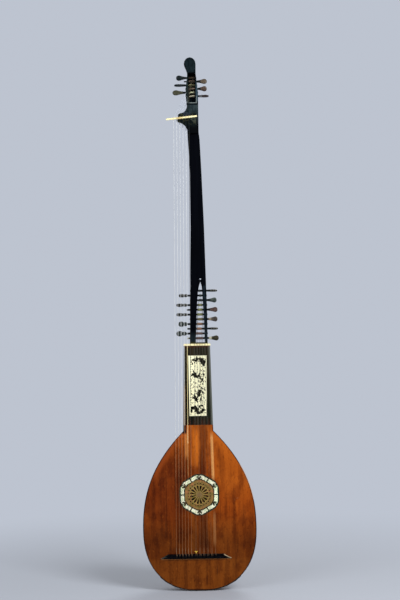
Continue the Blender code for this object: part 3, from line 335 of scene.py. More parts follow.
def plug(tree, value, socket):
    """Links a socket or sets a plain value."""
    if isinstance(value, bpy.types.NodeSocket):
        tree.links.new(value, socket)
    else:
        socket.default_value = value


def mix_colour(tree, factor, first, second, blend="MIX"):
    node = add_node(tree, "ShaderNodeMix", data_type="RGBA", blend_type=blend)
    plug(tree, factor, node.inputs[0])
    plug(tree, first, node.inputs[6])
    plug(tree, second, node.inputs[7])
    return node.outputs[2]


def maths(tree, operation, first, second=0.0):
    node = add_node(tree, "ShaderNodeMath", operation=operation)
    plug(tree, first, node.inputs[0])
    plug(tree, second, node.inputs[1])
    return node.outputs[0]


def stretched_noise(tree, vector, stretch, scale, detail=4.0):
    """Noise drawn out by a scale along each axis."""
    mapping = add_node(tree, "ShaderNodeMapping")
    mapping.inputs["Scale"].default_value = stretch
    tree.links.new(vector, mapping.inputs["Vector"])
    noise = add_node(tree, "ShaderNodeTexNoise")
    noise.inputs["Scale"].default_value = scale
    noise.inputs["Detail"].default_value = detail
    tree.links.new(mapping.outputs["Vector"], noise.inputs["Vector"])
    return noise.outputs["Fac"]


def axes_of(tree, vector):
    split = add_node(tree, "ShaderNodeSeparateXYZ")
    tree.links.new(vector, split.inputs["Vector"])
    return split.outputs["X"], split.outputs["Y"], split.outputs["Z"]


def ramp(tree, factor, low, high):
    node = add_node(tree, "ShaderNodeMapRange", interpolation_type="SMOOTHSTEP")
    node.inputs["From Min"].default_value = low
    node.inputs["From Max"].default_value = high
    tree.links.new(factor, node.inputs["Value"])
    return node.outputs["Result"]


def grain_group():
    """Wood grain that runs along Z: growth lines, broad streaks and fine pores."""
    tree, source, sink = group_tree(
        "Straight grain",
        [
            ("Vector", "NodeSocketVector", None),
            ("Light", "NodeSocketColor", (0.5, 0.25, 0.1, 1)),
            ("Dark", "NodeSocketColor", (0.2, 0.08, 0.03, 1)),
            ("Line Strength", "NodeSocketFloat", 0.5),
            ("Streak Strength", "NodeSocketFloat", 0.5),
        ],
        [("Color", "NodeSocketColor"), ("Height", "NodeSocketFloat")],
    )
    vector = source.outputs["Vector"]
    lines = ramp(tree, stretched_noise(tree, vector, (1, 1, 0.012), 700, 3), 0.38, 0.66)
    streaks = ramp(tree, stretched_noise(tree, vector, (1, 1, 0.05), 60, 5), 0.36, 0.68)
    pores = stretched_noise(tree, vector, (1, 1, 0.06), 1500, 2)
    line_part = maths(tree, "MULTIPLY", lines, source.outputs["Line Strength"])
    streak_part = maths(tree, "MULTIPLY", streaks, source.outputs["Streak Strength"])
    total = maths(tree, "MINIMUM", maths(tree, "ADD", line_part, streak_part), 1.0)
    colour = mix_colour(tree, total, source.outputs["Light"], source.outputs["Dark"])
    height = maths(tree, "ADD", maths(tree, "MULTIPLY", pores, 0.6), line_part)
    tree.links.new(colour, sink.inputs["Color"])
    tree.links.new(height, sink.inputs["Height"])
    return tree


def wear_group():
    """Handling marks: soft clouds and fine scratches as one mask, and dark specks."""
    tree, source, sink = group_tree(
        "Handling wear",
        [("Vector", "NodeSocketVector", None), ("Amount", "NodeSocketFloat", 0.5)],
        [("Mask", "NodeSocketFloat"), ("Specks", "NodeSocketFloat")],
    )
    vector, amount = source.outputs["Vector"], source.outputs["Amount"]
    clouds = ramp(tree, stretched_noise(tree, vector, (1, 1, 1), 14, 6), 0.42, 0.72)
    scratches = ramp(tree, stretched_noise(tree, vector, (1, 1, 0.15), 260, 8), 0.55, 0.78)
    specks = ramp(tree, stretched_noise(tree, vector, (1, 1, 1), 420, 2), 0.66, 0.74)
    both = maths(tree, "ADD", maths(tree, "MULTIPLY", clouds, 0.6), maths(tree, "MULTIPLY", scratches, 0.5))
    tree.links.new(maths(tree, "MULTIPLY", both, amount), sink.inputs["Mask"])
    tree.links.new(maths(tree, "MULTIPLY", specks, amount), sink.inputs["Specks"])
    return tree


def band_mask(tree, across, along, middle, half, low, high):
    """Soft lengthwise band, given by its middle, half width and height above the tail."""
    off = maths(tree, "ABSOLUTE", maths(tree, "SUBTRACT", across, middle))
    side = ramp(tree, off, half, half * 0.3)
    foot = ramp(tree, along, TAIL_Z + low, TAIL_Z + low + 0.04)
    top = ramp(tree, along, TAIL_Z + high, TAIL_Z + high - 0.03)
    return all_of(tree, side, foot, top)


def leaning(tree, across, along, lean):
    """Place across, measured from a line that leans with height."""
    return maths(tree, "ADD", across, maths(tree, "MULTIPLY", along, lean))


def all_of(tree, *masks):
    """Product of several masks."""
    result = masks[0]
    for mask in masks[1:]:
        result = maths(tree, "MULTIPLY", result, mask)
    return result


def above(tree, along, height, fade):
    """Mask that rises from 0 to 1 over a fade round a height above the tail."""
    return ramp(tree, along, TAIL_Z + height - fade / 2, TAIL_Z + height + fade / 2)


GROUPS = {}


def place_group(tree, maker, **values):
    """Puts a shared node group, made on first use, into a material."""
    if maker not in GROUPS:
        GROUPS[maker] = maker()
    node = add_node(tree, "ShaderNodeGroup", node_tree=GROUPS[maker])
    for label, value in values.items():
        plug(tree, value, node.inputs[label.replace("_", " ")])
    return node


def new_material(name, roughness, coat=0.0, specular=0.5):
    material = bpy.data.materials.new(name)
    material.use_nodes = True
    tree = material.node_tree
    shader = tree.nodes["Principled BSDF"]
    shader.inputs["Roughness"].default_value = roughness
    shader.inputs["Specular IOR Level"].default_value = specular
    shader.inputs["Coat Weight"].default_value = coat
    shader.inputs["Coat Roughness"].default_value = 0.2
    coordinates = add_node(tree, "ShaderNodeTexCoord")
    return material, tree, shader, coordinates.outputs["Object"]


def add_bump(tree, shader, height, distance):
    bump = add_node(tree, "ShaderNodeBump")
    bump.inputs["Distance"].default_value = distance
    tree.links.new(height, bump.inputs["Height"])
    tree.links.new(bump.outputs["Normal"], shader.inputs["Normal"])


def wood_material(name, light, dark, worn, roughness=0.45, lines=0.4, streaks=0.5, coat=0.0, specular=0.12):
    """Varnished or stained wood: grain, worn patches of another colour, and pores."""
    material, tree, shader, vector = new_material(name, roughness, coat, specular)
    grain = place_group(
        tree,
        grain_group,
        Vector=vector,
        Light=(*light, 1),
        Dark=(*dark, 1),
        Line_Strength=lines,
        Streak_Strength=streaks,
    )
    wear = place_group(tree, wear_group, Vector=vector, Amount=0.6)
    colour = mix_colour(tree, wear.outputs["Mask"], grain.outputs["Color"], (*worn, 1))
    tree.links.new(colour, shader.inputs["Base Color"])
    rough = maths(tree, "ADD", maths(tree, "MULTIPLY", wear.outputs["Mask"], 0.25), roughness)
    tree.links.new(rough, shader.inputs["Roughness"])
    add_bump(tree, shader, grain.outputs["Height"], 0.0001)
    return material


def edge_distance(tree, x, along):
    """Distance inward from the soundboard's outline, across at the same height."""
    height = maths(tree, "SUBTRACT", along, TAIL_Z)
    rise = maths(tree, "MAXIMUM", maths(tree, "SUBTRACT", height, WIDEST_HEIGHT), 0.0)
    rise = maths(tree, "POWER", maths(tree, "DIVIDE", rise, SHOULDER_REACH), SHOULDER_POWER)
    drop = maths(tree, "MAXIMUM", maths(tree, "SUBTRACT", WIDEST_HEIGHT, height), 0.0)
    drop = maths(tree, "POWER", maths(tree, "DIVIDE", drop, WIDEST_HEIGHT), TAIL_POWER)
    shoulder = maths(tree, "SUBTRACT", 1.0, rise)
    tail = maths(tree, "POWER", maths(tree, "SUBTRACT", 1.0, drop), 1 / TAIL_POWER)
    half = maths(tree, "MULTIPLY", maths(tree, "MULTIPLY", shoulder, tail), BODY_HALF_WIDTH)
    half = maths(tree, "MAXIMUM", half, NECK_JOINT_HALF)
    return maths(tree, "SUBTRACT", half, maths(tree, "ABSOLUTE", x))


def soundboard_material(colours):
    """Spruce under red-brown varnish: blotched and darker round its edge, with painted light on its top and treble
    half, painted shade on its bass side and toward its foot, painted shadows of the bass strings and painted
    highlights of the outer strings.
    """
    material, tree, shader, vector = new_material("varnished_spruce", 0.42, 0.0, 0.06)
    grain = place_group(
        tree,
        grain_group,
        Vector=vector,
        Light=(*colours.soundboard_light, 1),
        Dark=(*colours.soundboard_dark, 1),
        Line_Strength=0.25,
        Streak_Strength=0.35,
    )
    wear = place_group(tree, wear_group, Vector=vector, Amount=0.7)
    x, _, along = axes_of(tree, vector)
    waver = maths(tree, "SUBTRACT", stretched_noise(tree, vector, (1, 1, 0.3), 38, 3), 0.5)
    across = maths(tree, "ADD", x, maths(tree, "MULTIPLY", waver, 0.03))
    edge = edge_distance(tree, x, along)
    colour = mix_colour(tree, wear.outputs["Mask"], grain.outputs["Color"], (*colours.soundboard_worn_and_lit, 1))

    def tint(mask, tone, share=1.0, blend="MIX"):
        nonlocal colour
        colour = mix_colour(tree, maths(tree, "MULTIPLY", mask, share), colour, (*tone, 1), blend)

    # Light zones: painted light on the top and the treble half, falling from the upper right, and a lighter strip
    # toward the bass side
    tint(above(tree, along, 0.50, 0.14), colours.soundboard_worn_and_lit, 0.9)
    tint(band_mask(tree, across, along, -0.012, 0.026, 0.44, 0.60), (0.66, 0.165, 0.012), 0.9)
    treble = all_of(tree, ramp(tree, across, 0.045, 0.085), above(tree, along, 0.36, 0.10))
    tint(treble, (0.45, 0.105, 0.008), 0.45)
    tint(band_mask(tree, across, along, -0.020, 0.016, 0.12, 0.30), (0.42, 0.110, 0.012), 0.5)
    # Painted shade: the lower board darker and greyer toward the foot
    low = above(tree, along, 0.25, -0.16)
    tint(low, (0.50, 0.57, 0.66), 1.0, "MULTIPLY")
    foot = above(tree, along, 0.115, -0.02)
    tint(foot, (0.30, 0.090, 0.010), 0.25)

    # Dark zones: painted shade on the bass side, away from the light; broad bands, blots and the middle over and under
    # the rose
    bass_side_shade = ramp(tree, across, 0.03, -0.06)
    below_shoulder = above(tree, along, 0.51, -0.09)
    less_low = maths(tree, "SUBTRACT", 1.0, maths(tree, "MULTIPLY", low, 0.75))
    tint(all_of(tree, bass_side_shade, below_shoulder, less_low), (0.40, 0.33, 0.45), 0.85, "MULTIPLY")
    bands = ramp(tree, stretched_noise(tree, vector, (1, 1, 0.09), 46, 4), 0.44, 0.66)
    tint(bands, (0.42, 0.33, 0.30), 0.55, "MULTIPLY")
    blots = ramp(tree, stretched_noise(tree, vector, (1, 1, 0.55), 30, 7), 0.50, 0.68)
    tint(blots, (0.45, 0.34, 0.30), 0.60, "MULTIPLY")
    flecks = ramp(tree, stretched_noise(tree, vector, (1, 1, 0.5), 170, 4), 0.52, 0.72)
    tint(flecks, (0.45, 0.38, 0.36), 0.55, "MULTIPLY")
    pale_flecks = ramp(tree, stretched_noise(tree, vector, (1, 1, 0.6), 120, 4), 0.58, 0.74)
    tint(pale_flecks, (0.50, 0.14, 0.018), 0.16)
    tint(band_mask(tree, across, along, 0.016, 0.017, 0.40, 0.63), (0.34, 0.27, 0.38), 0.8, "MULTIPLY")
    tint(band_mask(tree, across, along, 0.0150, 0.022, 0.13, 0.30), (0.36, 0.32, 0.36), 0.7, "MULTIPLY")

    # Closed crack on the bass side and bruises beside the rose
    tint(band_mask(tree, x, along, -0.1219, 0.0020, 0.17, 0.44), (0.34, 0.30, 0.32), 0.65, "MULTIPLY")
    pits = ramp(tree, stretched_noise(tree, vector, (1, 1, 1), 110, 3), 0.46, 0.56)
    tint(all_of(tree, band_mask(tree, x, along, 0.127, 0.022, 0.331, 0.352), pits), (0.30, 0.22, 0.24), 0.75, "MULTIPLY")
    tint(all_of(tree, band_mask(tree, x, along, 0.105, 0.016, 0.290, 0.312), pits), (0.36, 0.28, 0.28), 0.60, "MULTIPLY")

    # Painted shadows that the bass strings cast on the board, just to the bass side of each
    rise = UPPER_NUT_LOW.z - BRIDGE_HIGH.z
    for i in range(DIAPASONS):
        foot_x = DIAPASON_BRIDGE - DIAPASON_SPACING_BRIDGE * i
        lean = (DIAPASON_NUT - DIAPASON_SPACING_NUT * i - foot_x) / rise
        beside = maths(tree, "SUBTRACT", leaning(tree, x, along, -lean), -lean * BRIDGE_HIGH.z)
        tint(band_mask(tree, beside, along, foot_x - 0.0030, 0.0024, 0.30, 0.62), (0.36, 0.34, 0.40), 0.75, "MULTIPLY")

    # Painted highlights of the outer strings as pale streaks beside them, the reddened shoulder and the darkened edge
    tint(band_mask(tree, x, along, -0.0452, 0.0088, 0.475, 0.62), (0.66, 0.25, 0.060), 0.60)
    streak = leaning(tree, x, along, 0.022)
    tint(band_mask(tree, streak, along, 0.0500 + 0.022 * (TAIL_Z + 0.51), 0.0072, 0.39, 0.590), (0.70, 0.33, 0.105), 0.85)
    tint(band_mask(tree, x, along, 0.0545, 0.0075, 0.15, 0.30), (0.45, 0.20, 0.07), 0.40)
    shoulder = all_of(tree, ramp(tree, edge, 0.030, 0.006), above(tree, along, 0.43, 0.08), ramp(tree, x, 0.0, -0.02))
    tint(shoulder, (0.42, 0.075, 0.008), 0.65)
    stained = all_of(tree, shoulder, above(tree, along, 0.560, -0.03), ramp(tree, x, -0.048, -0.060))
    tint(stained, (0.165, 0.034, 0.006), 0.70)
    tint(ramp(tree, edge, 0.0060, 0.0012), (0.012, 0.006, 0.004), 0.9)
    # Painted contact shadow: the board's foot near black where it stands on the floor
    tint(above(tree, along, 0.0045, -0.004), (0.008, 0.004, 0.003), 0.9)
    root = all_of(tree, above(tree, along, 0.580, 0.010), ramp(tree, x, -0.0425, -0.0450))
    tint(root, (0.006, 0.006, 0.007), 0.95)
    out = maths(tree, "ABSOLUTE", maths(tree, "SUBTRACT", x, (BRIDGE_LOW.x + BRIDGE_HIGH.x) / 2))
    reach = (BRIDGE_HIGH.x - BRIDGE_LOW.x) / 2
    below = BRIDGE_LOW.z - TAIL_Z
    bare = all_of(
        tree, ramp(tree, out, reach, reach - 0.006), above(tree, along, below - 0.0040, 0.002), above(tree, along, below, -0.001)
    )
    tint(bare, (0.36, 0.15, 0.045), 0.7)
    tint(wear.outputs["Specks"], (0.03, 0.008, 0.003))

    tree.links.new(colour, shader.inputs["Base Color"])
    rough = maths(tree, "ADD", maths(tree, "MULTIPLY", wear.outputs["Mask"], 0.25), 0.38)
    tree.links.new(rough, shader.inputs["Roughness"])
    add_bump(tree, shader, grain.outputs["Height"], 0.0001)
    return material


def binding_material():
    """Blackened lace, with a painted pale highlight along the treble shoulder."""
    material, tree, shader, vector = new_material("stained_binding", 0.45, 0.0, 0.06)
    x, _, along = axes_of(tree, vector)
    grime_and_shade = ramp(tree, stretched_noise(tree, vector, (1, 1, 0.5), 120, 4), 0.4, 0.7)
    colour = mix_colour(tree, grime_and_shade, (0.012, 0.007, 0.005, 1), (0.048, 0.023, 0.011, 1))
    # Painted highlight: pale where the treble shoulder's lace catches the light
    rubbed = all_of(tree, ramp(tree, x, 0.10, 0.12), above(tree, along, 0.335, 0.02), above(tree, along, 0.465, -0.02))
    colour = mix_colour(tree, rubbed, colour, (0.50, 0.24, 0.10, 1))
    tree.links.new(colour, shader.inputs["Base Color"])
    return material


def rib_material(name, light, dark, worn):
    """Varnished rib: its outside polished, its inside painted near black as the shade within the bowl."""
    material, tree, shader, vector = new_material(name, 0.46, 0.0, 0.30)
    grain = place_group(
        tree, grain_group, Vector=vector, Light=(*light, 1), Dark=(*dark, 1), Line_Strength=0.35, Streak_Strength=0.6
    )
    wear = place_group(tree, wear_group, Vector=vector, Amount=0.6)
    colour = mix_colour(tree, wear.outputs["Mask"], grain.outputs["Color"], (*worn, 1))
    x, depth, _ = axes_of(tree, vector)
    normal_x, normal_y, _ = axes_of(tree, tree.nodes["Texture Coordinate"].outputs["Normal"])
    outward = maths(
        tree,
        "ADD",
        maths(tree, "MULTIPLY", x, normal_x),
        maths(tree, "MULTIPLY", maths(tree, "SUBTRACT", depth, FRONT_Y), normal_y),
    )
    # Painted shade: the inner faces near black
    inside = maths(tree, "LESS_THAN", outward, 0.0)
    colour = mix_colour(tree, inside, colour, (0.016, 0.010, 0.006, 1))
    tree.links.new(colour, shader.inputs["Base Color"])
    rough = maths(tree, "ADD", maths(tree, "MULTIPLY", wear.outputs["Mask"], 0.20), 0.46)
    tree.links.new(rough, shader.inputs["Roughness"])
    add_bump(tree, shader, grain.outputs["Height"], 0.0001)
    return material


def head_material(colours):
    """Black stain on the long head, with a painted grey-green sheen round the throat and a dark blue-grey finial."""
    material, tree, shader, vector = new_material("head_stain", 0.5, 0.0, 0.012)
    grain = place_group(
        tree,
        grain_group,
        Vector=vector,
        Light=(*colours.black_light, 1),
        Dark=(*colours.black_dark, 1),
        Line_Strength=0.4,
        Streak_Strength=0.5,
    )
    x, depth, along = axes_of(tree, vector)
    cloud = ramp(tree, stretched_noise(tree, vector, (1, 1, 0.5), 90, 4), 0.35, 0.65)
    # Painted sheen: the throat's front mottled grey-green where it faces the light
    throat = mix_colour(tree, cloud, (0.012, 0.020, 0.023, 1), (0.027, 0.040, 0.043, 1))
    near_front = ramp(tree, depth, HEAD_LOW.y + 0.016, HEAD_LOW.y + 0.003)
    rubbed = all_of(tree, above(tree, along, 1.742, 0.06), near_front)
    colour = mix_colour(tree, rubbed, grain.outputs["Color"], throat)
    colour = mix_colour(tree, above(tree, along, RECESS_START - 0.0115, 0.002), colour, (0.0035, 0.0065, 0.0085, 1))
    colour = mix_colour(tree, above(tree, along, FINIAL_START - 0.014, 0.008), colour, (0.0005, 0.0007, 0.0012, 1))

    # Walls beside the recess, the treble one lighter up to its middle
    front = ramp(tree, depth, HEAD_LOW.y + 0.0030, HEAD_LOW.y + 0.0012)
    up = above(tree, along, RECESS_START + 0.002, 0.008)
    treble = all_of(tree, front, up, ramp(tree, x, 0.0075, 0.0105), above(tree, along, RECESS_START + 0.070, -0.03))
    colour = mix_colour(tree, treble, colour, (0.026, 0.046, 0.060, 1))
    bass = all_of(tree, front, up, ramp(tree, x, -0.0165, -0.0190))
    colour = mix_colour(tree, bass, colour, (0.011, 0.018, 0.017, 1))
    finial = mix_colour(tree, cloud, (0.0030, 0.0060, 0.0075, 1), (0.0080, 0.0150, 0.0180, 1))
    colour = mix_colour(tree, above(tree, along, FINIAL_START, 0.004), colour, finial)

    # Lower pegbox: its treble wall and its foot by the nut
    nut = NUT_HIGH.z - TAIL_Z
    lower = all_of(tree, above(tree, along, nut + 0.215, -0.02), ramp(tree, x, 0.0245, 0.0275))
    colour = mix_colour(tree, maths(tree, "MULTIPLY", lower, cloud), colour, (0.010, 0.016, 0.022, 1))
    colour = mix_colour(tree, above(tree, along, nut + 0.036, -0.03), colour, (0.008, 0.013, 0.016, 1))
    colour = mix_colour(tree, above(tree, along, nut + 0.006, -0.005), colour, (0.030, 0.032, 0.012, 1))
    tree.links.new(colour, shader.inputs["Base Color"])
    add_bump(tree, shader, grain.outputs["Height"], 0.0001)
    return material


def bracket_material():
    """Nut bracket: near black and mottled by the nut, with painted sheen: bluish over the nut, grey-green round the
    throat and olive on its treble side.
    """
    material, tree, shader, vector = new_material("bracket_wood", 0.5, 0.0, 0.012)
    grain = place_group(
        tree,
        grain_group,
        Vector=vector,
        Light=(0.0046, 0.0078, 0.0080, 1),
        Dark=(0.0012, 0.0020, 0.0026, 1),
        Line_Strength=0.3,
        Streak_Strength=0.8,
    )
    x, _, along = axes_of(tree, vector)
    nut = UPPER_NUT_LOW.z - TAIL_Z + 0.009
    off_nut = maths(tree, "ABSOLUTE", maths(tree, "SUBTRACT", along, TAIL_Z + nut))
    by_nut = ramp(tree, off_nut, 0.030, 0.012)
    mottle = ramp(tree, stretched_noise(tree, vector, (1, 1, 1), 150, 3), 0.50, 0.64)
    colour = mix_colour(tree, all_of(tree, by_nut, mottle), grain.outputs["Color"], (0.036, 0.036, 0.018, 1))
    # Painted sheen: bluish over the nut
    blue_sheen = band_mask(tree, x, along, -0.024, 0.020, nut - 0.020, nut + 0.048)
    blue_sheen = all_of(tree, blue_sheen, above(tree, along, nut, 0.006))
    colour = mix_colour(tree, maths(tree, "MULTIPLY", blue_sheen, 0.8), colour, (0.030, 0.036, 0.052, 1))
    # Painted sheen: grey-green round the throat, as on the head
    cloud = ramp(tree, stretched_noise(tree, vector, (1, 1, 0.5), 90, 4), 0.35, 0.65)
    throat = mix_colour(tree, cloud, (0.012, 0.020, 0.023, 1), (0.027, 0.040, 0.043, 1))
    throat_side = ramp(tree, x, -0.034, -0.022)
    colour = mix_colour(tree, all_of(tree, above(tree, along, nut + 0.018, 0.012), throat_side), colour, throat)
    # Painted sheen: olive on the treble side beyond the sloping edge
    beyond = leaning(tree, along, x, 0.946)
    rubbed = all_of(
        tree,
        ramp(tree, beyond, TAIL_Z + nut - 0.0180, TAIL_Z + nut - 0.0135),
        above(tree, along, nut - 0.001, -0.006),
        ramp(tree, x, 0.0165, 0.0145),
    )
    grit = ramp(tree, stretched_noise(tree, vector, (1, 1, 1), 200, 3), 0.35, 0.6)
    colour = mix_colour(tree, all_of(tree, rubbed, grit), colour, (0.044, 0.052, 0.042, 1))
    colour = mix_colour(tree, above(tree, along, 1.716, -0.02), colour, (0.0016, 0.0020, 0.0026, 1))
    tree.links.new(colour, shader.inputs["Base Color"])
    add_bump(tree, shader, grain.outputs["Height"], 0.0001)
    return material


def fingerboard_material():
    """Black stain rubbed to brown, reddened at its foot and worn through along its bass edge, with a painted red-brown
    shadow under the nut and a painted grey-green sheen along its treble edge.
    """
    material, tree, shader, vector = new_material("fingerboard_wood", 0.45, 0.0, 0.05)
    grain = place_group(
        tree,
        grain_group,
        Vector=vector,
        Light=(0.034, 0.024, 0.013, 1),
        Dark=(0.0025, 0.0030, 0.0018, 1),
        Line_Strength=0.5,
        Streak_Strength=0.9,
    )
    x, _, along = axes_of(tree, vector)
    streak = ramp(tree, stretched_noise(tree, vector, (1, 1, 0.04), 110, 3), 0.42, 0.62)
    colour = mix_colour(tree, maths(tree, "MULTIPLY", streak, 0.5), grain.outputs["Color"], (0.010, 0.018, 0.008, 1))
    foot = all_of(tree, above(tree, along, SOUNDBOARD_TOP + 0.020, -0.03), streak)
    colour = mix_colour(tree, maths(tree, "MULTIPLY", foot, 0.7), colour, (0.050, 0.012, 0.006, 1))
    # Painted shadow of the nut: red-brown just below it
    top = NUT_LOW.z - TAIL_Z
    colour = mix_colour(tree, above(tree, along, top - 0.006, 0.006), colour, (0.048, 0.014, 0.005, 1))
    # The edges draw in toward the nut by so much for each metre; the treble edge gets a painted grey-green sheen
    treble = leaning(tree, x, along, 0.0222)
    edge = 0.0485 + 0.0222 * NUT_LOW.z
    rim = ramp(tree, treble, edge - 0.0075, edge - 0.0045)
    colour = mix_colour(tree, maths(tree, "MULTIPLY", rim, 0.85), colour, (0.115, 0.122, 0.105, 1))
    bass = leaning(tree, x, along, -0.0222)
    worn = all_of(tree, ramp(tree, bass, 0.0090 - edge, 0.0055 - edge), above(tree, along, 0.755, -0.05))
    colour = mix_colour(tree, maths(tree, "MULTIPLY", worn, 0.9), colour, (0.175, 0.098, 0.024, 1))
    tree.links.new(colour, shader.inputs["Base Color"])
    add_bump(tree, shader, grain.outputs["Height"], 0.0001)
    return material


def bridge_material():
    """Ebony black, with painted grey highlights on its pointed ends, tan at their tips."""
    material, tree, shader, vector = new_material("ebony", 0.5, 0.0, 0.02)
    x, _, along = axes_of(tree, vector)
    grit = ramp(tree, stretched_noise(tree, vector, (0.3, 1, 1), 160, 4), 0.42, 0.62)
    colour = mix_colour(tree, grit, (0.0010, 0.0010, 0.0018, 1), (0.0036, 0.0036, 0.0050, 1))
    middle = (BRIDGE_LOW.x + BRIDGE_HIGH.x) / 2
    half = (BRIDGE_HIGH.x - BRIDGE_LOW.x) / 2
    out = maths(tree, "ABSOLUTE", maths(tree, "SUBTRACT", x, middle))
    # Painted highlights: grey on the pointed ends
    ends = all_of(tree, ramp(tree, out, half - 0.034, half - 0.012), grit)
    colour = mix_colour(tree, maths(tree, "MULTIPLY", ends, 0.8), colour, (0.060, 0.066, 0.056, 1))
    colour = mix_colour(tree, ramp(tree, out, half - 0.007, half - 0.001), colour, (0.20, 0.085, 0.045, 1))
    # Painted highlight along the sloping treble end
    slope = 0.55
    line = leaning(tree, along, x, slope)
    end = BRIDGE_LOW.z + slope * BRIDGE_HIGH.x
    bare = all_of(tree, ramp(tree, line, end - 0.0030, end - 0.0012), ramp(tree, x, BRIDGE_HIGH.x - 0.030, BRIDGE_HIGH.x - 0.026))
    colour = mix_colour(tree, bare, colour, (0.34, 0.25, 0.15, 1))
    tree.links.new(colour, shader.inputs["Base Color"])
    add_bump(tree, shader, grit, 0.00006)
    return material


def ivory_material(name, pale, old, browned=None):
    """Old ivory: faint lengthwise lines, yellowed patches and dark specks in its pores.

    browned gives the middle and half width, across, of a darker stretch.
    """
    material, tree, shader, vector = new_material(name, 0.35, 0.0, 0.25)
    grain = place_group(
        tree,
        grain_group,
        Vector=vector,
        Light=(*pale, 1),
        Dark=(*old, 1),
        Line_Strength=0.15,
        Streak_Strength=0.3,
    )
    wear = place_group(tree, wear_group, Vector=vector, Amount=0.5)
    colour = mix_colour(tree, wear.outputs["Specks"], grain.outputs["Color"], (0.25, 0.17, 0.08, 1))
    if browned:
        middle, half = browned
        off = maths(tree, "ABSOLUTE", maths(tree, "SUBTRACT", axes_of(tree, vector)[0], middle))
        stretch = maths(tree, "MULTIPLY", ramp(tree, off, half, half * 0.4), 0.85)
        colour = mix_colour(tree, stretch, colour, (0.58, 0.43, 0.17, 1))
    tree.links.new(colour, shader.inputs["Base Color"])
    add_bump(tree, shader, grain.outputs["Height"], 0.00004)
    return material


def gut_material(name, wound, zones, turns=None):
    """Twisted gut whose tone changes with height and where it is wound on its peg.

    zones pairs a height above the tail with the colour from there up. The wound colour shows
    only as deep as the pegs lie; deeper still a fingered string is painted dark as the pegbox's
    shade. A bass string's turns give the height and half height of the strip that catches the
    light and where, across, it falls into shade; beyond these its turns are painted dark as
    shade. Such a string also darkens over the bracket and the head.
    """
    material, tree, shader, vector = new_material(name, 0.5, 0.0, 0.15)
    x, depth, along = axes_of(tree, vector)
    colour = (*zones[0][1], 1)
    for height, tone in zones[1:]:
        colour = mix_colour(tree, above(tree, along, height, 0.006), colour, (*tone, 1))
    if turns:
        nut = UPPER_NUT_LOW.z - TAIL_Z + 0.006
        foot = BRACKET_LOW.z - TAIL_Z
        slant = leaning(tree, x, along, 1.0)
        edge = BRACKET_LOW.z - 0.020
        over_bracket = all_of(
            tree,
            ramp(tree, slant, edge - 0.002, edge + 0.002),
            above(tree, along, foot, 0.004),
            above(tree, along, nut, -0.004),
        )
        over_head = all_of(tree, above(tree, along, nut, 0.004), ramp(tree, x, -0.027, -0.024))
        lobe = leaning(tree, along, x, -0.536)
        over_lobe = all_of(
            tree,
            above(tree, along, nut, 0.004),
            ramp(tree, lobe, TAIL_Z + 1.790, TAIL_Z + 1.786),
            ramp(tree, x, -0.060, -0.056),
        )
        over = maths(tree, "MAXIMUM", maths(tree, "MAXIMUM", over_bracket, over_head), over_lobe)
        colour = mix_colour(tree, over, colour, (0.008, 0.012, 0.012, 1))
        in_recess = all_of(tree, above(tree, along, RECESS_START, 0.004), ramp(tree, x, -0.0190, -0.0170))
        colour = mix_colour(tree, in_recess, colour, (0.035, 0.034, 0.022, 1))
    deep = ramp(tree, depth, HEAD_LOW.y + 0.0035, HEAD_LOW.y + 0.0060)
    colour = mix_colour(tree, deep, colour, (*wound, 1))
    tone = ramp(tree, stretched_noise(tree, vector, (1, 1, 0.2), 120, 3), 0.35, 0.7)
    share = 0.3 if turns else 0.8
    colour = mix_colour(tree, maths(tree, "MULTIPLY", tone, share), colour, (0.62, 0.60, 0.56, 1), "MULTIPLY")
    if turns:
        # Painted shade: the turns dark beyond their lit strip and across toward the treble side
        height, half, shade_start = turns
        strip = leaning(tree, maths(tree, "SUBTRACT", along, height), x, -TURNS_SLOPE)
        off = maths(tree, "ABSOLUTE", maths(tree, "SUBTRACT", strip, -TURNS_SLOPE * TURNS_MIDDLE))
        shade = maths(tree, "MULTIPLY", ramp(tree, x, shade_start - 0.003, shade_start + 0.003), 0.9)
        grime_and_shade = maths(tree, "MAXIMUM", ramp(tree, off, half * 0.75, half * 1.2), shade)
        grime_and_shade = maths(tree, "MULTIPLY", grime_and_shade, deep)
    else:
        # Painted shade: the string darker deeper in the pegbox
        grime_and_shade = ramp(tree, depth, HEAD_LOW.y + 0.0085, HEAD_LOW.y + 0.0105)
    colour = mix_colour(tree, maths(tree, "MULTIPLY", grime_and_shade, 0.9), colour, (0.012, 0.010, 0.007, 1))
    if turns:
        # In its notch the string is as pale as the nut
        tilt = math.tan(UPPER_NUT_TILT)
        notch = leaning(tree, along, x, -tilt)
        middle = upper_nut_height(0) + UPPER_NUT_WIDTH / 2
        off_nut = maths(tree, "ABSOLUTE", maths(tree, "SUBTRACT", notch, middle))
        on_nut = ramp(tree, off_nut, UPPER_NUT_WIDTH / 2 + 0.0022, UPPER_NUT_WIDTH / 2 + 0.0008)
        colour = mix_colour(tree, on_nut, colour, (0.86, 0.72, 0.36, 1))
    tree.links.new(colour, shader.inputs["Base Color"])
    wave = add_node(tree, "ShaderNodeTexWave", bands_direction="DIAGONAL")
    wave.inputs["Scale"].default_value = 900
    tree.links.new(vector, wave.inputs["Vector"])
    add_bump(tree, shader, wave.outputs["Fac"], 0.00004)
    return material


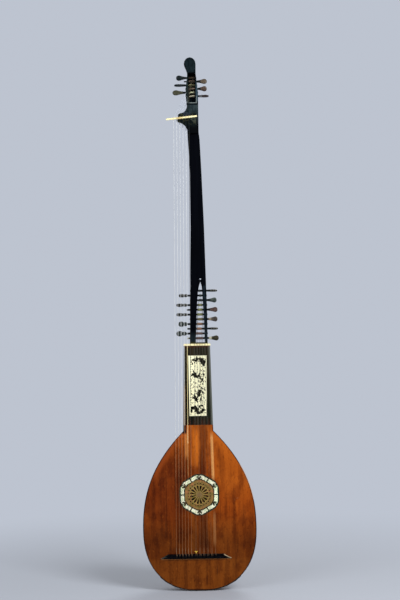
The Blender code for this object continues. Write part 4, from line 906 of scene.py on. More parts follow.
def inlay_material(colours):
    """Cracked shell on the raised tiles, ragged at both edges, and mastic between, told by depth."""
    material, tree, shader, vector = new_material("inlay", 0.3, 0.0, 0.25)
    x, depth, z = axes_of(tree, vector)
    x, z = maths(tree, "SUBTRACT", x, ROSE_X), maths(tree, "SUBTRACT", z, ROSE_Z)
    out = 0.0
    for k in range(3):
        turn = math.pi / 3 * k
        across = maths(tree, "MULTIPLY", x, math.cos(turn))
        along = maths(tree, "MULTIPLY", z, math.sin(turn))
        out = maths(tree, "MAXIMUM", out, maths(tree, "ABSOLUTE", maths(tree, "ADD", across, along)))
    waver = maths(tree, "SUBTRACT", stretched_noise(tree, vector, (1, 1, 1), 170, 2), 0.5)
    out = maths(tree, "ADD", out, maths(tree, "MULTIPLY", waver, 0.006))
    ragged = maths(tree, "MAXIMUM", ramp(tree, out, 0.0562, 0.0552), ramp(tree, out, 0.0672, 0.0682))
    sunk = maths(tree, "GREATER_THAN", depth, FRONT_Y + 0.00012)
    clouds = ramp(tree, stretched_noise(tree, vector, (1, 1, 1), 90, 4), 0.38, 0.62)
    shell = mix_colour(tree, clouds, (*colours.shell_green, 1), (*colours.shell_pale, 1))
    cells = add_node(tree, "ShaderNodeTexVoronoi", feature="DISTANCE_TO_EDGE")
    cells.inputs["Scale"].default_value = 110
    tree.links.new(vector, cells.inputs["Vector"])
    crack = ramp(tree, cells.outputs["Distance"], 0.0, 0.030)
    shell = mix_colour(tree, crack, (0.16, 0.22, 0.12, 1), shell)
    grit = stretched_noise(tree, vector, (1, 1, 1), 900, 4)
    mastic = mix_colour(tree, ramp(tree, grit, 0.35, 0.7), (0.003, 0.009, 0.004, 1), (0.014, 0.030, 0.012, 1))
    ground = maths(tree, "MAXIMUM", sunk, ragged)
    tree.links.new(mix_colour(tree, ground, shell, mastic), shader.inputs["Base Color"])
    tree.links.new(maths(tree, "ADD", maths(tree, "MULTIPLY", ground, 0.3), 0.30), shader.inputs["Roughness"])
    add_bump(tree, shader, grit, 0.00006)
    return material


def rose_material(name, light, dark, roughness):
    """Gilded wood gone brown: reddened and olive patches, and a dark edge."""
    material, tree, shader, vector = new_material(name, roughness, 0.0, 0.10)
    grain = place_group(
        tree, grain_group, Vector=vector, Light=(*light, 1), Dark=(*dark, 1), Line_Strength=0.15, Streak_Strength=0.35
    )
    x, depth, z = axes_of(tree, vector)
    x, z = maths(tree, "SUBTRACT", x, ROSE_X), maths(tree, "SUBTRACT", z, ROSE_Z)
    radius = maths(tree, "SQRT", maths(tree, "ADD", maths(tree, "MULTIPLY", x, x), maths(tree, "MULTIPLY", z, z)))
    outer = ramp(tree, radius, 0.022, 0.036)
    red = all_of(tree, ramp(tree, stretched_noise(tree, vector, (1, 1, 1), 52, 3), 0.50, 0.62), outer)
    colour = mix_colour(tree, maths(tree, "MULTIPLY", red, 0.75), grain.outputs["Color"], (0.42, 0.17, 0.065, 1))
    olive = ramp(tree, stretched_noise(tree, vector, (1, 1, 0.8), 78, 3), 0.52, 0.64)
    colour = mix_colour(tree, maths(tree, "MULTIPLY", olive, 0.65), colour, (0.135, 0.120, 0.018, 1))
    colour = mix_colour(tree, ramp(tree, radius, 0.0522, 0.0560), colour, (0.040, 0.030, 0.012, 1))
    # Painted shade: the pierced ground nearly black below its face
    colour = mix_colour(tree, ramp(tree, depth, FRONT_Y + 0.0006, FRONT_Y + 0.0012), colour, (0.006, 0.005, 0.002, 1))
    tree.links.new(colour, shader.inputs["Base Color"])
    add_bump(tree, shader, grain.outputs["Height"], 0.0001)
    return material


def dress_node(name, material):
    """Gives a construction node its finish by its material slots."""
    node = frame["nodes"][name]
    if not node.material_slots:
        node.data.materials.append(material)
    for slot in node.material_slots:
        slot.material = material


# Body and neck


def dress_body(sizes, colours):
    """Finishes the bowl and soundboard, with the seams and knocks in the varnish."""
    deep = [channel * 0.35 for channel in colours.rib_wood]
    second = [channel * 0.6 for channel in colours.rib_wood]
    ribs = [
        rib_material("rib_wood_1", colours.rib_wood, deep, (0.10, 0.035, 0.015)),
        rib_material("rib_wood_2", second, deep, (0.08, 0.028, 0.012)),
    ]
    inner = wood_material("inner_wood", (0.52, 0.36, 0.19), (0.34, 0.2, 0.09), (0.4, 0.27, 0.14), 0.7, coat=0)
    lace = binding_material()
    dress_node("soundboard", soundboard_material(colours))
    dress_node("edge_binding", lace)
    for i in range(1, 12):
        dress_node(f"rib_{i:02d}", ribs[i % 2])
    dress_node("end_clasp", ribs[0])
    dress_node("end_block", inner)
    dress_node("neck_block", inner)
    # Seams and scratches: x, lower and upper height, lean of the top in x
    marks = [
        (-0.1275, 0.185, 0.330, 0.0008),
        (-0.0975, 0.110, 0.300, -0.0006),
        (0.0020, 0.420, 0.560, 0.0004),
        (0.1290, 0.326, 0.342, 0.0040),
        (0.1130, 0.300, 0.312, -0.0050),
        (0.1360, 0.338, 0.340, 0.0090),
        (0.0620, 0.045, 0.100, 0.0010),
    ]
    paths = []
    for x, low, high, lean in marks:
        paths.append(
            [
                (x, FRONT_Y, TAIL_Z + low, 0.2),
                (x + lean * 0.4, FRONT_Y, TAIL_Z + low * 0.6 + high * 0.4, 1.0),
                (x + lean, FRONT_Y, TAIL_Z + high, 0.3),
            ]
        )
    tube_piece("soundboard_seams", paths, sizes.seam_line, lace, sides=1)


def dress_neck(sizes, colours):
    """Finishes the neck, head, bridge and ivory pieces."""
    stained = wood_material("blackened_wood", colours.black_light, colours.black_dark, (0.012, 0.014, 0.016), 0.45, specular=0.25)
    dress_node("neck", stained)
    dress_node("head", head_material(colours))
    dress_node("nut_bracket", bracket_material())
    dress_node("fingerboard", fingerboard_material())
    dress_node("bridge", bridge_material())
    dress_node("fingerboard_plate", ivory_material("plate_ivory", colours.ivory_pale, colours.ivory_old))
    dress_node("nut", ivory_material("nut_ivory", (0.96, 0.87, 0.50), (0.80, 0.56, 0.20)))
    dress_node("upper_nut", ivory_material("upper_nut_ivory", (0.97, 0.90, 0.52), (0.82, 0.56, 0.22), (-0.052, 0.014)))
    add_pegbox_trim(sizes)


def add_pegbox_trim(sizes):
    """Flat bone strip let into the head, under the upper pegbox and up both its sides."""
    foot = TAIL_Z + RECESS_START
    wide = sizes.trim_width
    left, right = TRIM_LEFT, TRIM_RIGHT
    bottom, top = foot - TRIM_DROP, foot + TRIM_RISE
    outer = [(left, top), (left, bottom), (right, bottom), (right, top)]
    inner = [(left + wide, top), (left + wide, bottom + wide), (right - wide, bottom + wide), (right - wide, top)]
    bm = bmesh.new()
    front, back = HEAD_LOW.y - 0.0003, HEAD_LOW.y + 0.0005
    rings = []
    for (ox, oz), (ix, iz) in zip(outer, inner):
        if oz == top:
            ix = ox + (ix - ox) * 0.4
        rings.append([(ox, front, oz), (ix, front, iz), (ix, back, iz), (ox, back, oz)])
    loft_into(bm, rings)
    bone = ivory_material("trim_bone", (0.150, 0.175, 0.165), (0.07, 0.08, 0.075))
    mesh_piece("pegbox_trim", bm, bone)


# Rose


def on_rose(radius, angle, lift=0.0, factor=1.0):
    """Point of the rose's front at a radius and an angle, with a tube's radius factor."""
    return (ROSE_X + radius * math.cos(angle), FRONT_Y - lift, ROSE_Z + radius * math.sin(angle), factor)


def rose_ring(radius, steps=96, lift=0.0):
    return [on_rose(radius, 2 * math.pi * k / steps, lift) for k in range(steps)]


def dress_rose(sizes, colours):
    """Carves the rose: hub, rays, pointed arches, a plaited border and a moulded rim."""
    gold = colours.rose_gold
    ground = [channel * 0.30 for channel in gold]
    ochre = [channel * 0.66 for channel in gold]
    base = rose_material("rose_ground", ochre, ground, 0.6)
    carved = rose_material("rose_carving", gold, ochre, 0.5)
    plait = rose_material("rose_plait", ochre, ground, 0.55)
    rim = rose_material("rose_rim", (0.32, 0.19, 0.055), (0.16, 0.10, 0.028), 0.5)
    dress_node("rose", base)
    dress_node("rose_surround", inlay_material(colours))

    line = sizes.carving_line
    step = 2 * math.pi / ROSE_RAYS
    rays, arches = [], []
    for k in range(ROSE_RAYS):
        turn = step * k
        rays.append([on_rose(ROSE_HUB * 0.8, turn, 0, 0.6), on_rose(ROSE_STAR, turn, 0, 0.9)])
        for way in (-1, 1):
            arch = [
                on_rose(ROSE_STAR - 0.0045, turn, 0, 0.8),
                on_rose(ROSE_STAR - 0.0016, turn + way * step * 0.16, 0, 0.8),
                on_rose(ROSE_STAR + 0.0008, turn + way * step * 0.36, 0, 0.75),
                on_rose(ROSE_STAR + 0.0024, turn + way * step * 0.5, 0, 0.7),
            ]
            arches.append(arch)
    tube_piece("rose_rays", rays + arches, line, carved)

    waves = []
    steps = ROSE_BORDER_WAVES * 12
    for way in (-1, 1):
        wave = []
        for k in range(steps):
            angle = 2 * math.pi * k / steps
            swing = way * math.sin(ROSE_BORDER_WAVES * angle)
            over = way * math.cos(2 * ROSE_BORDER_WAVES * angle)
            wave.append(on_rose(ROSE_BORDER + 0.0031 * swing, angle, 0.0003 * over, 0.85))
        waves.append(wave)
    rings = [rose_ring(ROSE_STAR + 0.0028), rose_ring(ROSE_RIM - 0.0016)]
    tube_piece("rose_plait", waves + rings, line * 0.8, plait, cyclic=True)

    bm = bmesh.new()
    profile = [(0.0, 0.0), (0.0, 0.9), (0.35, 1.0), (0.62, 0.45), (0.74, 0.85), (0.92, 0.8), (1.0, 0.0)]
    rows = []
    count = 96
    for k in range(count):
        angle = 2 * math.pi * k / count
        off_flat = (angle + math.pi / 6) % (math.pi / 3) - math.pi / 6
        outer = min(ROSE_FLAT / math.cos(off_flat), ROSE_CORNER) - GAP
        row = []
        for share, rise in profile:
            x, y, z, _ = on_rose(ROSE_RIM + (outer - ROSE_RIM) * share, angle, sizes.carving_height * rise - 0.0002)
            row.append((x, y, z))
        rows.append(row)
    loft_into(bm, rows + [rows[0]], closed=False)
    bmesh.ops.remove_doubles(bm, verts=bm.verts, dist=1e-6)
    mesh_piece("rose_rim", bm, rim, smooth_angle=50)

    bm = bmesh.new()
    hub = []
    for share, rise in ((1.0, -0.2), (1.0, 0.5), (0.86, 0.9), (0.66, 0.55), (0.5, 0.9), (0.25, 1.25), (0.04, 1.35)):
        ring = []
        for k in range(48):
            angle = 2 * math.pi * k / 48
            lobe = 1 + 0.06 * math.cos(8 * angle) * share
            ring.append(on_rose(ROSE_HUB * share * lobe, angle, sizes.carving_height * rise)[:3])
        hub.append(ring)
    loft_into(bm, hub)
    worn_hub = rose_material("rose_hub", (0.24, 0.155, 0.062), (0.13, 0.090, 0.036), 0.6)
    mesh_piece("rose_hub", bm, worn_hub, smooth_angle=50)

    # Curls of mastic that cut the tiles' ends at each corner
    mastic = wood_material("mastic_curls", (0.014, 0.026, 0.010), (0.004, 0.009, 0.004), (0.02, 0.03, 0.014), 0.6)
    curls = []
    for k in range(6):
        corner = math.pi / 6 + math.pi / 3 * k
        for way in (-1, 1):
            x, _, z, _ = on_rose(0.0632, corner + way * 0.105)
            curls.append(hook(x, z, 0.0050, corner + math.pi - way * 0.4, way * 4.6))
            x, _, z, _ = on_rose(0.0700, corner + way * 0.060)
            curls.append(hook(x, z, 0.0034, corner - way * 2.2, -way * 3.4))
    tube_piece("surround_curls", curls, sizes.curl_line * 1.3, mastic, sides=1)

    # Paler curls of shell inside the corners
    shell = ivory_material("shell_curls", colours.shell_pale, colours.shell_green)
    curls = []
    for k in range(6):
        corner = math.pi / 6 + math.pi / 3 * k
        for way in (-1, 1):
            x, _, z, _ = on_rose(0.0615, corner + way * 0.085)
            curls.append(hook(x, z, 0.0031, corner + way * 0.6, way * 4.0))
    tube_piece("shell_curls", curls, sizes.curl_line, shell, sides=1)


# Fingerboard plate


def hook(x, z, radius, start_angle, turn, steps=10):
    """Small curl on the plate, thin at both ends."""
    points = []
    for i in range(steps + 1):
        share = i / steps
        angle = start_angle + turn * share
        reach = radius * (1 - 0.45 * share)
        thick = 0.45 + 0.7 * math.sin(math.pi * share)
        points.append((x + reach * math.cos(angle), FRONT_Y + 0.0001, z + reach * math.sin(angle), thick))
    return points


def flat_into(bm, outline):
    """Adds a thin filling with the given outline, let into the plate."""
    loft_into(bm, [[(x, y, z) for x, z in outline] for y in (FRONT_Y - 0.0001, FRONT_Y + 0.0003)])


def leaf_into(bm, spine, width):
    """Leaf along a smoothed spine, pointed at both ends and notched along its edges."""
    points = smooth_stations(spine, 6)
    last = len(points) - 1
    left, right = [], []
    for i, (x, z) in enumerate(points):
        before, after = points[max(i - 1, 0)], points[min(i + 1, last)]
        run = math.hypot(after[0] - before[0], after[1] - before[1])
        side = (-(after[1] - before[1]) / run, (after[0] - before[0]) / run)
        share = i / last
        notch = 1 + 0.30 * math.cos(share * math.pi * last / 3)
        half = width / 2 * math.sin(math.pi * (share * 0.96 + 0.02)) ** 0.7 * notch
        left.append((x + side[0] * half, z + side[1] * half))
        right.append((x - side[0] * half, z - side[1] * half))
    flat_into(bm, left + right[::-1])


# Bold leaves on the plate: width, then the spine's places across, as shares of the plate's width
# from its middle, and up, as shares of its height
PLATE_LEAVES = [
    (0.0085, ((-0.30, 0.920), (-0.18, 0.925), (-0.05, 0.915), (0.06, 0.945))),
    (0.0085, ((-0.03, 0.985), (-0.02, 0.945), (-0.05, 0.900))),
    (0.0190, ((0.07, 0.955), (0.22, 0.920), (0.31, 0.880), (0.35, 0.820))),
    (0.0100, ((-0.22, 0.745), (-0.13, 0.695), (-0.03, 0.650), (0.04, 0.625))),
    (0.0075, ((-0.34, 0.665), (-0.24, 0.690), (-0.14, 0.650), (-0.05, 0.640))),
    (0.0075, ((0.00, 0.630), (0.08, 0.665), (0.12, 0.715))),
    (0.0050, ((0.06, 0.660), (0.14, 0.645), (0.18, 0.610))),
    (0.0040, ((0.27, 0.738), (0.34, 0.742), (0.41, 0.736))),
    (0.0070, ((0.29, 0.705), (0.33, 0.685), (0.35, 0.655))),
    (0.0048, ((0.17, 0.625), (0.25, 0.598), (0.32, 0.565))),
    (0.0048, ((0.33, 0.620), (0.25, 0.590), (0.19, 0.552))),
    (0.0105, ((-0.29, 0.290), (-0.18, 0.300), (-0.08, 0.265), (0.00, 0.225))),
    (0.0080, ((-0.22, 0.345), (-0.15, 0.320), (-0.10, 0.270))),
    (0.0125, ((-0.04, 0.300), (0.05, 0.345), (0.09, 0.395), (0.05, 0.440))),
    (0.0052, ((0.06, 0.425), (0.17, 0.425), (0.26, 0.390), (0.29, 0.340))),
    (0.0058, ((0.09, 0.235), (0.16, 0.275), (0.21, 0.335))),
    (0.0045, ((0.16, 0.475), (0.24, 0.450), (0.32, 0.445))),
    (0.0160, ((-0.38, 0.095), (-0.29, 0.130), (-0.17, 0.135), (-0.06, 0.100), (0.02, 0.055), (0.13, 0.038))),
    (0.0115, ((0.06, 0.042), (0.18, 0.068), (0.28, 0.098), (0.41, 0.096))),
    (0.0066, ((0.02, 0.115), (0.10, 0.160), (0.22, 0.172), (0.31, 0.130))),
    (0.0075, ((-0.37, 0.120), (-0.34, 0.085), (-0.36, 0.050))),
]


def add_plate_scrolls(sizes, colours):
    """Dark leaves, curls and specks let into the pale plate, within a lined border."""
    low, high = PLATE_LOW, PLATE_HIGH
    width, height = high.x - low.x, high.z - low.z
    middle = (low.x + high.x) / 2
    dark = wood_material("scroll_filling", (0.008, 0.007, 0.004), (0.002, 0.002, 0.001), (0.014, 0.012, 0.006), 0.5, specular=0.03)
    vine = wood_material("vine_filling", (0.014, 0.015, 0.006), (0.005, 0.006, 0.003), (0.030, 0.030, 0.014), 0.5, specular=0.03)
    chance = random.Random(11)
    paths = []
    columns, rows = 5, 16
    cell_x, cell_z = (width - 0.016) / columns, (height - 0.012) / rows
    for row in range(rows):
        for column in range(columns):
            x = low.x + 0.0095 + cell_x * (column + 0.5 + chance.uniform(-0.3, 0.3))
            z = low.z + 0.006 + cell_z * (row + 0.5 + chance.uniform(-0.3, 0.3))
            way = chance.choice((-1, 1))
            paths.append(hook(x, z, chance.uniform(0.0014, 0.0030), chance.uniform(0, 6), way * chance.uniform(2.0, 4.2)))
    tube_piece("plate_scrolls", paths, sizes.scroll_line, vine, sides=1)

    bm = bmesh.new()
    for wide, spine in PLATE_LEAVES:
        leaf_into(bm, [(middle + width * across, low.z + height * up) for across, up in spine], wide)
    mesh_piece("plate_leaves", bm, dark)

    bm = bmesh.new()
    spots = [(chance.uniform(-0.34, 0.43), chance.uniform(0.03, 0.97)) for _ in range(105)]
    for k in range(25):
        up = 0.03 + 0.039 * k
        spots.append((-0.375 + 0.030 * up + chance.uniform(-0.008, 0.008), up))
    for across, up in spots:
        x, z = middle + width * across, low.z + height * up
        turn, size = chance.uniform(0, 3), chance.uniform(0.0013, 0.0024)
        corners = [(turn + math.pi / 3 * k, size * (1.0 if k % 3 else 1.6)) for k in range(6)]
        flat_into(bm, [(x + r * math.cos(a), z + r * math.sin(a)) for a, r in corners])
    # Stained side margins, wider toward the foot
    flat_into(bm, [(low.x, low.z), (low.x + 0.0036, low.z), (low.x + 0.0020, high.z), (low.x, high.z)])
    flat_into(bm, [(high.x, low.z), (high.x, high.z - 0.080), (high.x - 0.0034, low.z)])
    mesh_piece("plate_specks", bm, dark)

    inset = 0.0008
    x0, x1 = low.x + inset, high.x - inset
    z0, z1 = low.z + inset, high.z - inset
    border = [(x, FRONT_Y + 0.0001, z) for x, z in ((x0, z0), (x1, z0), (x1, z1), (x0, z1))]
    tube_piece("plate_border", [border], sizes.border_line, vine, cyclic=True, sides=1)


# Pegs


def peg_facts(name):
    """Side, grip, wall, axis and taper of a peg, read from the frame."""
    low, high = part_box(name)
    axis = JOINTS[name]["pos_m"]
    number = int(name.rsplit("_", 1)[1])
    right = number % 2 == 1
    bass = name.startswith("bass")
    reach = (BASS_PEG_REACHES if bass else PEG_REACHES)[number - 1]
    wall = high.x - reach if right else low.x + reach
    small_end = low.x if right else high.x
    turn = (BASS_PEG_TURNS if bass else PEG_TURNS)[number - 1]
    return {
        "name": name,
        "direction": 1 if right else -1,
        "grip": "bass" if bass else ("right" if right else "left"),
        "place": Vector((wall, axis[1], axis[2])),
        "length": abs(wall - small_end),
        "reach": reach,
        "thick": BASS_PEG_THICK if bass else PEG_THICK,
        "thin": BASS_PEG_THIN if bass else PEG_THIN,
        "turn": math.radians(turn),
    }


def peg_radius(peg, distance):
    return peg["thick"] + (peg["thin"] - peg["thick"]) * distance / peg["length"]


def peg_ring(peg, distance, wide, thin, sides):
    turn = peg["turn"]
    points = []
    for k in range(sides):
        angle = 2 * math.pi * k / sides
        w, t = wide * math.cos(angle), thin * math.sin(angle)
        offset = Vector(
            (
                distance * peg["direction"],
                w * math.sin(turn) + t * math.cos(turn),
                w * math.cos(turn) - t * math.sin(turn),
            )
        )
        points.append(peg["place"] + offset)
    return points


def make_peg(peg, material):
    """One turned peg: small end, tapered shaft, and the collar and grip smoothed."""
    stations = []
    length = peg["length"]
    for distance, shrink in ((length, 0.55), (length - 0.0003, 0.82), (length - 0.0010, 0.98)):
        radius = peg_radius(peg, distance) * shrink
        stations.append((-distance, radius, radius))
    for k in range(1, 9):
        distance = (length - 0.001) * (1 - k / 8)
        radius = peg_radius(peg, distance) * 0.985
        stations.append((-distance, radius, radius))
    grip = [
        (share * peg["reach"], wide * GRIP_HALF, thin * GRIP_HALF)
        for share, wide, thin in PEG_HEADS[peg["grip"]]
    ]
    shoulder = (0.0, peg["thick"] * 0.985, peg["thick"] * 0.985)
    stations += smooth_stations([shoulder, *grip], 5)[1:]
    bm = bmesh.new()
    loft_into(bm, [peg_ring(peg, *station, 28) for station in stations])
    mesh_piece(peg["name"] + "_turned", bm, material, peg["name"], 50, peg["name"])


def peg_material(name, light, dark, worn, centre, reach, collar, beaded=False):
    """Turned wood, its grip in its own colour and its shaft nearly black, told by place."""
    material, tree, shader, vector = new_material(name, 0.42, 0.0, 0.10)
    x, y, z = axes_of(tree, vector)
    lengthwise = add_node(tree, "ShaderNodeCombineXYZ")
    for value, socket in zip((z, y, x), lengthwise.inputs):
        tree.links.new(value, socket)
    grain = place_group(
        tree,
        grain_group,
        Vector=lengthwise.outputs[0],
        Light=(*light, 1),
        Dark=(*dark, 1),
        Line_Strength=0.3,
        Streak_Strength=0.4,
    )
    blots = ramp(tree, stretched_noise(tree, vector, (1.4, 1, 0.7), 210, 3), 0.50, 0.62)
    if beaded:
        beads = maths(tree, "SINE", maths(tree, "MULTIPLY", x, 2 * math.pi / PEG_BEADS))
        uneven = maths(tree, "SUBTRACT", stretched_noise(tree, vector, (1, 1, 1), 190, 2), 0.5)
        blots = ramp(tree, maths(tree, "ADD", beads, maths(tree, "MULTIPLY", uneven, 3.0)), 0.25, 0.75)
    share = 0.9 if beaded else 0.7
    colour = mix_colour(tree, maths(tree, "MULTIPLY", blots, share), grain.outputs["Color"], (*worn, 1))
    out = maths(tree, "ABSOLUTE", maths(tree, "SUBTRACT", x, centre))
    colour = mix_colour(tree, ramp(tree, out, reach, reach + 0.006), (0.006, 0.008, 0.008, 1), colour)
    if collar:
        ring = all_of(tree, ramp(tree, out, reach - 0.004, reach - 0.002), ramp(tree, out, reach + 0.009, reach + 0.006))
        colour = mix_colour(tree, ring, colour, (*collar, 1))
    tree.links.new(colour, shader.inputs["Base Color"])
    add_bump(tree, shader, grain.outputs["Height"], 0.0001)
    return material


def peg_woods(colours):
    """Peg materials by their keys: those of the lower pegbox, then those of the upper one."""
    red = colours.red_peg
    # Light, dark and worn tones, and the collar's where it differs
    lower = {
        "black": ((0.006, 0.007, 0.006), (0.0015, 0.002, 0.002), (0.100, 0.098, 0.080), None),
        "slate": ((0.020, 0.026, 0.023), (0.004, 0.006, 0.005), (0.055, 0.068, 0.062), None),
        "olive": ((0.026, 0.023, 0.012), (0.007, 0.007, 0.004), (0.050, 0.044, 0.024), (0.38, 0.37, 0.28)),
        "moss": ((0.040, 0.052, 0.046), (0.012, 0.016, 0.014), (0.080, 0.095, 0.085), None),
        "ash": ((0.062, 0.050, 0.043), (0.020, 0.016, 0.014), (0.12, 0.095, 0.072), (0.22, 0.18, 0.13)),
        "red": (red, [channel * 0.4 for channel in red], (0.105, 0.068, 0.056), None),
    }
    upper = {
        "dark": ((0.006, 0.010, 0.011), (0.002, 0.004, 0.005), (0.015, 0.023, 0.023), None),
        "moss": ((0.052, 0.052, 0.030), (0.018, 0.018, 0.011), (0.090, 0.086, 0.058), None),
        "ash": ((0.060, 0.038, 0.028), (0.018, 0.012, 0.010), (0.100, 0.070, 0.054), None),
        "tan": ((0.078, 0.056, 0.036), (0.024, 0.017, 0.012), (0.140, 0.110, 0.080), None),
        "grey": ((0.032, 0.023, 0.022), (0.010, 0.008, 0.008), (0.080, 0.064, 0.060), (0.085, 0.088, 0.092)),
    }
    woods = {}
    for place, table, centre, reach in (("lower", lower, 0.0078, 0.040), ("upper", upper, -0.0044, 0.031)):
        for key, (light, dark, worn, collar) in table.items():
            name = f"{place}_peg_{key}"
            woods[place, key] = peg_material(name, light, dark, worn, centre, reach, collar, key == "black")
    return woods


def add_pegs(sizes, colours):
    """Turns the seventeen pegs."""
    woods = peg_woods(colours)
    for i in range(FINGERED):
        make_peg(peg_facts(f"peg_{i + 1:02d}"), woods["lower", PEG_WOODS[i]])
    for i in range(DIAPASONS):
        make_peg(peg_facts(f"bass_peg_{i + 1}"), woods["upper", BASS_PEG_WOODS[i]])


# Strings


def fingered_positions(first, course_spacing, pair_spacing):
    positions = [first]
    for course in range(1, 6):
        middle = first - course_spacing * course
        positions += [middle + pair_spacing / 2, middle - pair_spacing / 2]
    return positions


def upper_nut_height(x):
    centre = (UPPER_NUT_LOW.x + UPPER_NUT_HIGH.x) / 2
    middle = (UPPER_NUT_LOW.z + UPPER_NUT_HIGH.z) / 2
    return middle - UPPER_NUT_WIDTH / 2 + math.tan(UPPER_NUT_TILT) * (x - centre)


def string_routes(sizes):
    """What each string needs: gut, radius, bridge and nut places, peg and winding."""
    routes = []
    at_bridge = fingered_positions(FIRST_COURSE_BRIDGE, COURSE_SPACING_BRIDGE, PAIR_SPACING_BRIDGE)
    at_nut = fingered_positions(FIRST_COURSE_NUT, COURSE_SPACING_NUT, PAIR_SPACING_NUT)
    radius = sizes.string_radius
    crest = NUT_LOW.y - GAP - radius
    for i, (number, peg_x, way, turns, turns_back, gut) in enumerate(PEG_PLACES):
        nut = [(at_nut[i], crest, NUT_LOW.z + NUT_THICKNESS * 0.2), (at_nut[i], crest, NUT_LOW.z + NUT_THICKNESS * 0.5 + GAP)]
        peg = peg_facts(f"peg_{number:02d}")
        name = f"string_{i + 1:02d}"
        routes.append((name, gut, radius, at_bridge[i], nut, peg, peg_x, way, turns, turns_back))
    radius = sizes.bass_radius
    crest = UPPER_NUT_LOW.y - GAP - radius
    for i, (peg_x, turns, turns_back) in enumerate(BASS_PEG_PLACES):
        x = DIAPASON_NUT - DIAPASON_SPACING_NUT * i
        low = upper_nut_height(x)
        nut = [(x, crest, low + UPPER_NUT_WIDTH * 0.25), (x, crest, low + UPPER_NUT_WIDTH * 0.75)]
        at_tie = DIAPASON_BRIDGE - DIAPASON_SPACING_BRIDGE * i
        peg = peg_facts(f"bass_peg_{i + 1}")
        name = f"bass_string_{i + 1}"
        routes.append((name, name, radius, at_tie, nut, peg, peg_x, 1, turns, turns_back))
    return routes


def bridge_tie(x, r):
    """From the front over the bridge's top, round its back and into the string's hole."""
    beside = x + 2 * r + 2 * GAP
    top, back = BRIDGE_HIGH.z, BRIDGE_HIGH.z - BRIDGE_WIDTH
    off = r + GAP
    y = FRONT_Y
    return [
        (beside, y - BRIDGE_FRONT_RISE * 0.72, top + off + GAP),
        (beside, y - BRIDGE_FRONT_RISE - off * 0.7, top - 0.0002),
        (beside, y - BRIDGE_FRONT_RISE - off * 1.15, top - BRIDGE_WIDTH * 0.30),
        (beside - r, y - BRIDGE_BACK_RISE - off * 1.25, back + BRIDGE_WIDTH * 0.08),
        (x + r * 0.3, y - BRIDGE_BACK_RISE * 0.88, back - off * 1.25),
        (x, y - STRING_RISE - r * 0.4, back - off * 1.1),
        (x, y - STRING_RISE, back + 0.0012),
        (x, y - STRING_RISE, top + 0.0010),
    ]


def peg_winding(start, r, peg, peg_x, way, turns):
    """Tangent point on the peg and the turns after it, close on the tapered shaft."""
    pitch = 2 * r + TURN_GAP
    dy, dz = peg["place"].y - start[1], peg["place"].z - start[2]
    lean = None
    points = []
    for k in range(turns * POINTS_PER_TURN + 1):
        x = peg_x + way * pitch * k / POINTS_PER_TURN
        from_wall = (peg["place"].x - x) * peg["direction"]
        shaft = max(peg_radius(peg, from_wall - 0.006), peg_radius(peg, from_wall + 0.006))
        coil = (shaft + GAP + r) / math.cos(math.pi / CAD_POINTS_PER_TURN)
        if lean is None:
            lean = math.atan2(dy, dz) - math.asin(coil / math.hypot(dy, dz))
        angle = lean + 2 * math.pi * k / POINTS_PER_TURN
        points.append((x, peg["place"].y - coil * math.cos(angle), peg["place"].z + coil * math.sin(angle)))
    return points


